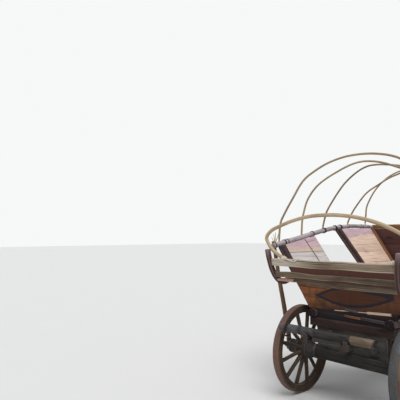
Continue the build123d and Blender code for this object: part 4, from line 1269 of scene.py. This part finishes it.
for sign in (1, -1):
    flip = mirrorPlace(sign)
    for name, shift in trimLook["boardNails"]:
        for s in trimLook["boardNailRows"]:
            nail(onWall(lineX(name, s) + shift, s, boardFace), inward, flip)
    for name, last in trimLook["battenNails"]:
        for s in [0.07 + (last - 0.07) * i / 6 for i in range(7)]:
            nail(onWall(lineX(name, s) + 0.003, s, boardFace + wallLook["batten"]), inward, flip)
    for z in trimLook["headNails"]:  # through the headboard into the front battens
        nail(at(2.3358, wallY(z) - 0.047, z), Vector((1, 0, 0)), flip)
    for z in trimLook["tailNails"]:
        nail(at(-0.0428, wallY(z) - 0.052, z), Vector((-1, 0, 0)), flip)
    for x, z in trimLook["slatNails"]:  # through the slats into the crooks
        nail(at(x, 0.602, z), Vector((-1, 0, 0)), flip)
settle("board_nails", nails, "blackIron", "iron")
print("fittings")

# floor, world, lamp and camera
stageLook = {
    "skyStrength": 0.58, "skyColour": (0.93, 0.95, 1.0), "backdrop": (0.93, 0.94, 0.94),
    "floorColour": (0.70, 0.70, 0.68), "floorSize": 60,
    "keyStrength": 2.1, "keyAngle": radians(40.0), "keyWay": (0.30, 0.36, -0.88),
    "eye": (-3.834, -2.184, 1.609), "yaw": 0.852, "pitch": 0.082, "lens": 38.61, "sensor": 36,
}
floorMaterial, shader, pen = newFinish("paleFloor", 0.1)
spot, grey = pen.place(), stageLook["floorColour"]
tone = spot.clouds(1.5, 3.0, 0.5).mix((*[v * 0.98 for v in grey], 1), (*grey, 1))
connect(shader, pen, tone, spot.clouds(40.0, 2.0, 0.5) * 0.1 + 0.85, spot.clouds(60.0, 2.0, 0.5), 0.0005)
grid = bmesh.new()
bmesh.ops.create_grid(grid, x_segments=2, y_segments=2, size=stageLook["floorSize"])
mesh = bpy.data.meshes.new("ground")
grid.to_mesh(mesh)
grid.free()
mesh.materials.append(floorMaterial)
ground = bpy.data.objects.new("ground", mesh)
bpy.context.collection.objects.link(ground)

world = bpy.data.worlds.new("studio")
bpy.context.scene.world = world
world.use_nodes = True
sky = world.node_tree.nodes["Background"]
seen = Shade(world.node_tree, None).node("ShaderNodeLightPath", {}, {}, 0)
glossy, through = [Shade(seen.tree, seen.out.node.outputs[f"Is {ray} Ray"]) for ray in ("Glossy", "Transmission")]
plain = seen.high(glossy).high(through)  # what shows the pale backdrop
colour = plain.mix((*stageLook["skyColour"], 1), (*stageLook["backdrop"], 1))
world.node_tree.links.new(colour.out, sky.inputs["Color"])
strength = plain * (1.0 - stageLook["skyStrength"]) + stageLook["skyStrength"]
world.node_tree.links.new(strength.out, sky.inputs["Strength"])

lamp = bpy.data.lights.new("key", "SUN")
lamp.energy, lamp.angle = stageLook["keyStrength"], stageLook["keyAngle"]
key = bpy.data.objects.new("key", lamp)
key.rotation_euler = Vector(stageLook["keyWay"]).to_track_quat("-Z", "Y").to_euler()
bpy.context.collection.objects.link(key)

camera = bpy.data.cameras.new("camera")
camera.lens, camera.sensor_width = stageLook["lens"], stageLook["sensor"]
eye = bpy.data.objects.new("camera", camera)
yaw, pitch = stageLook["yaw"], stageLook["pitch"]
forward = Vector((cos(yaw) * cos(pitch), sin(yaw) * cos(pitch), sin(pitch)))
right = Vector((sin(yaw), -cos(yaw), 0))
matrix = Matrix((right, right.cross(forward), -forward)).transposed().to_4x4()
matrix.translation = at(*stageLook["eye"])
eye.matrix_world = matrix
bpy.context.collection.objects.link(eye)
bpy.context.scene.camera = eye
bpy.context.scene.view_settings.view_transform = "Standard"

bpy.context.view_layer.update()
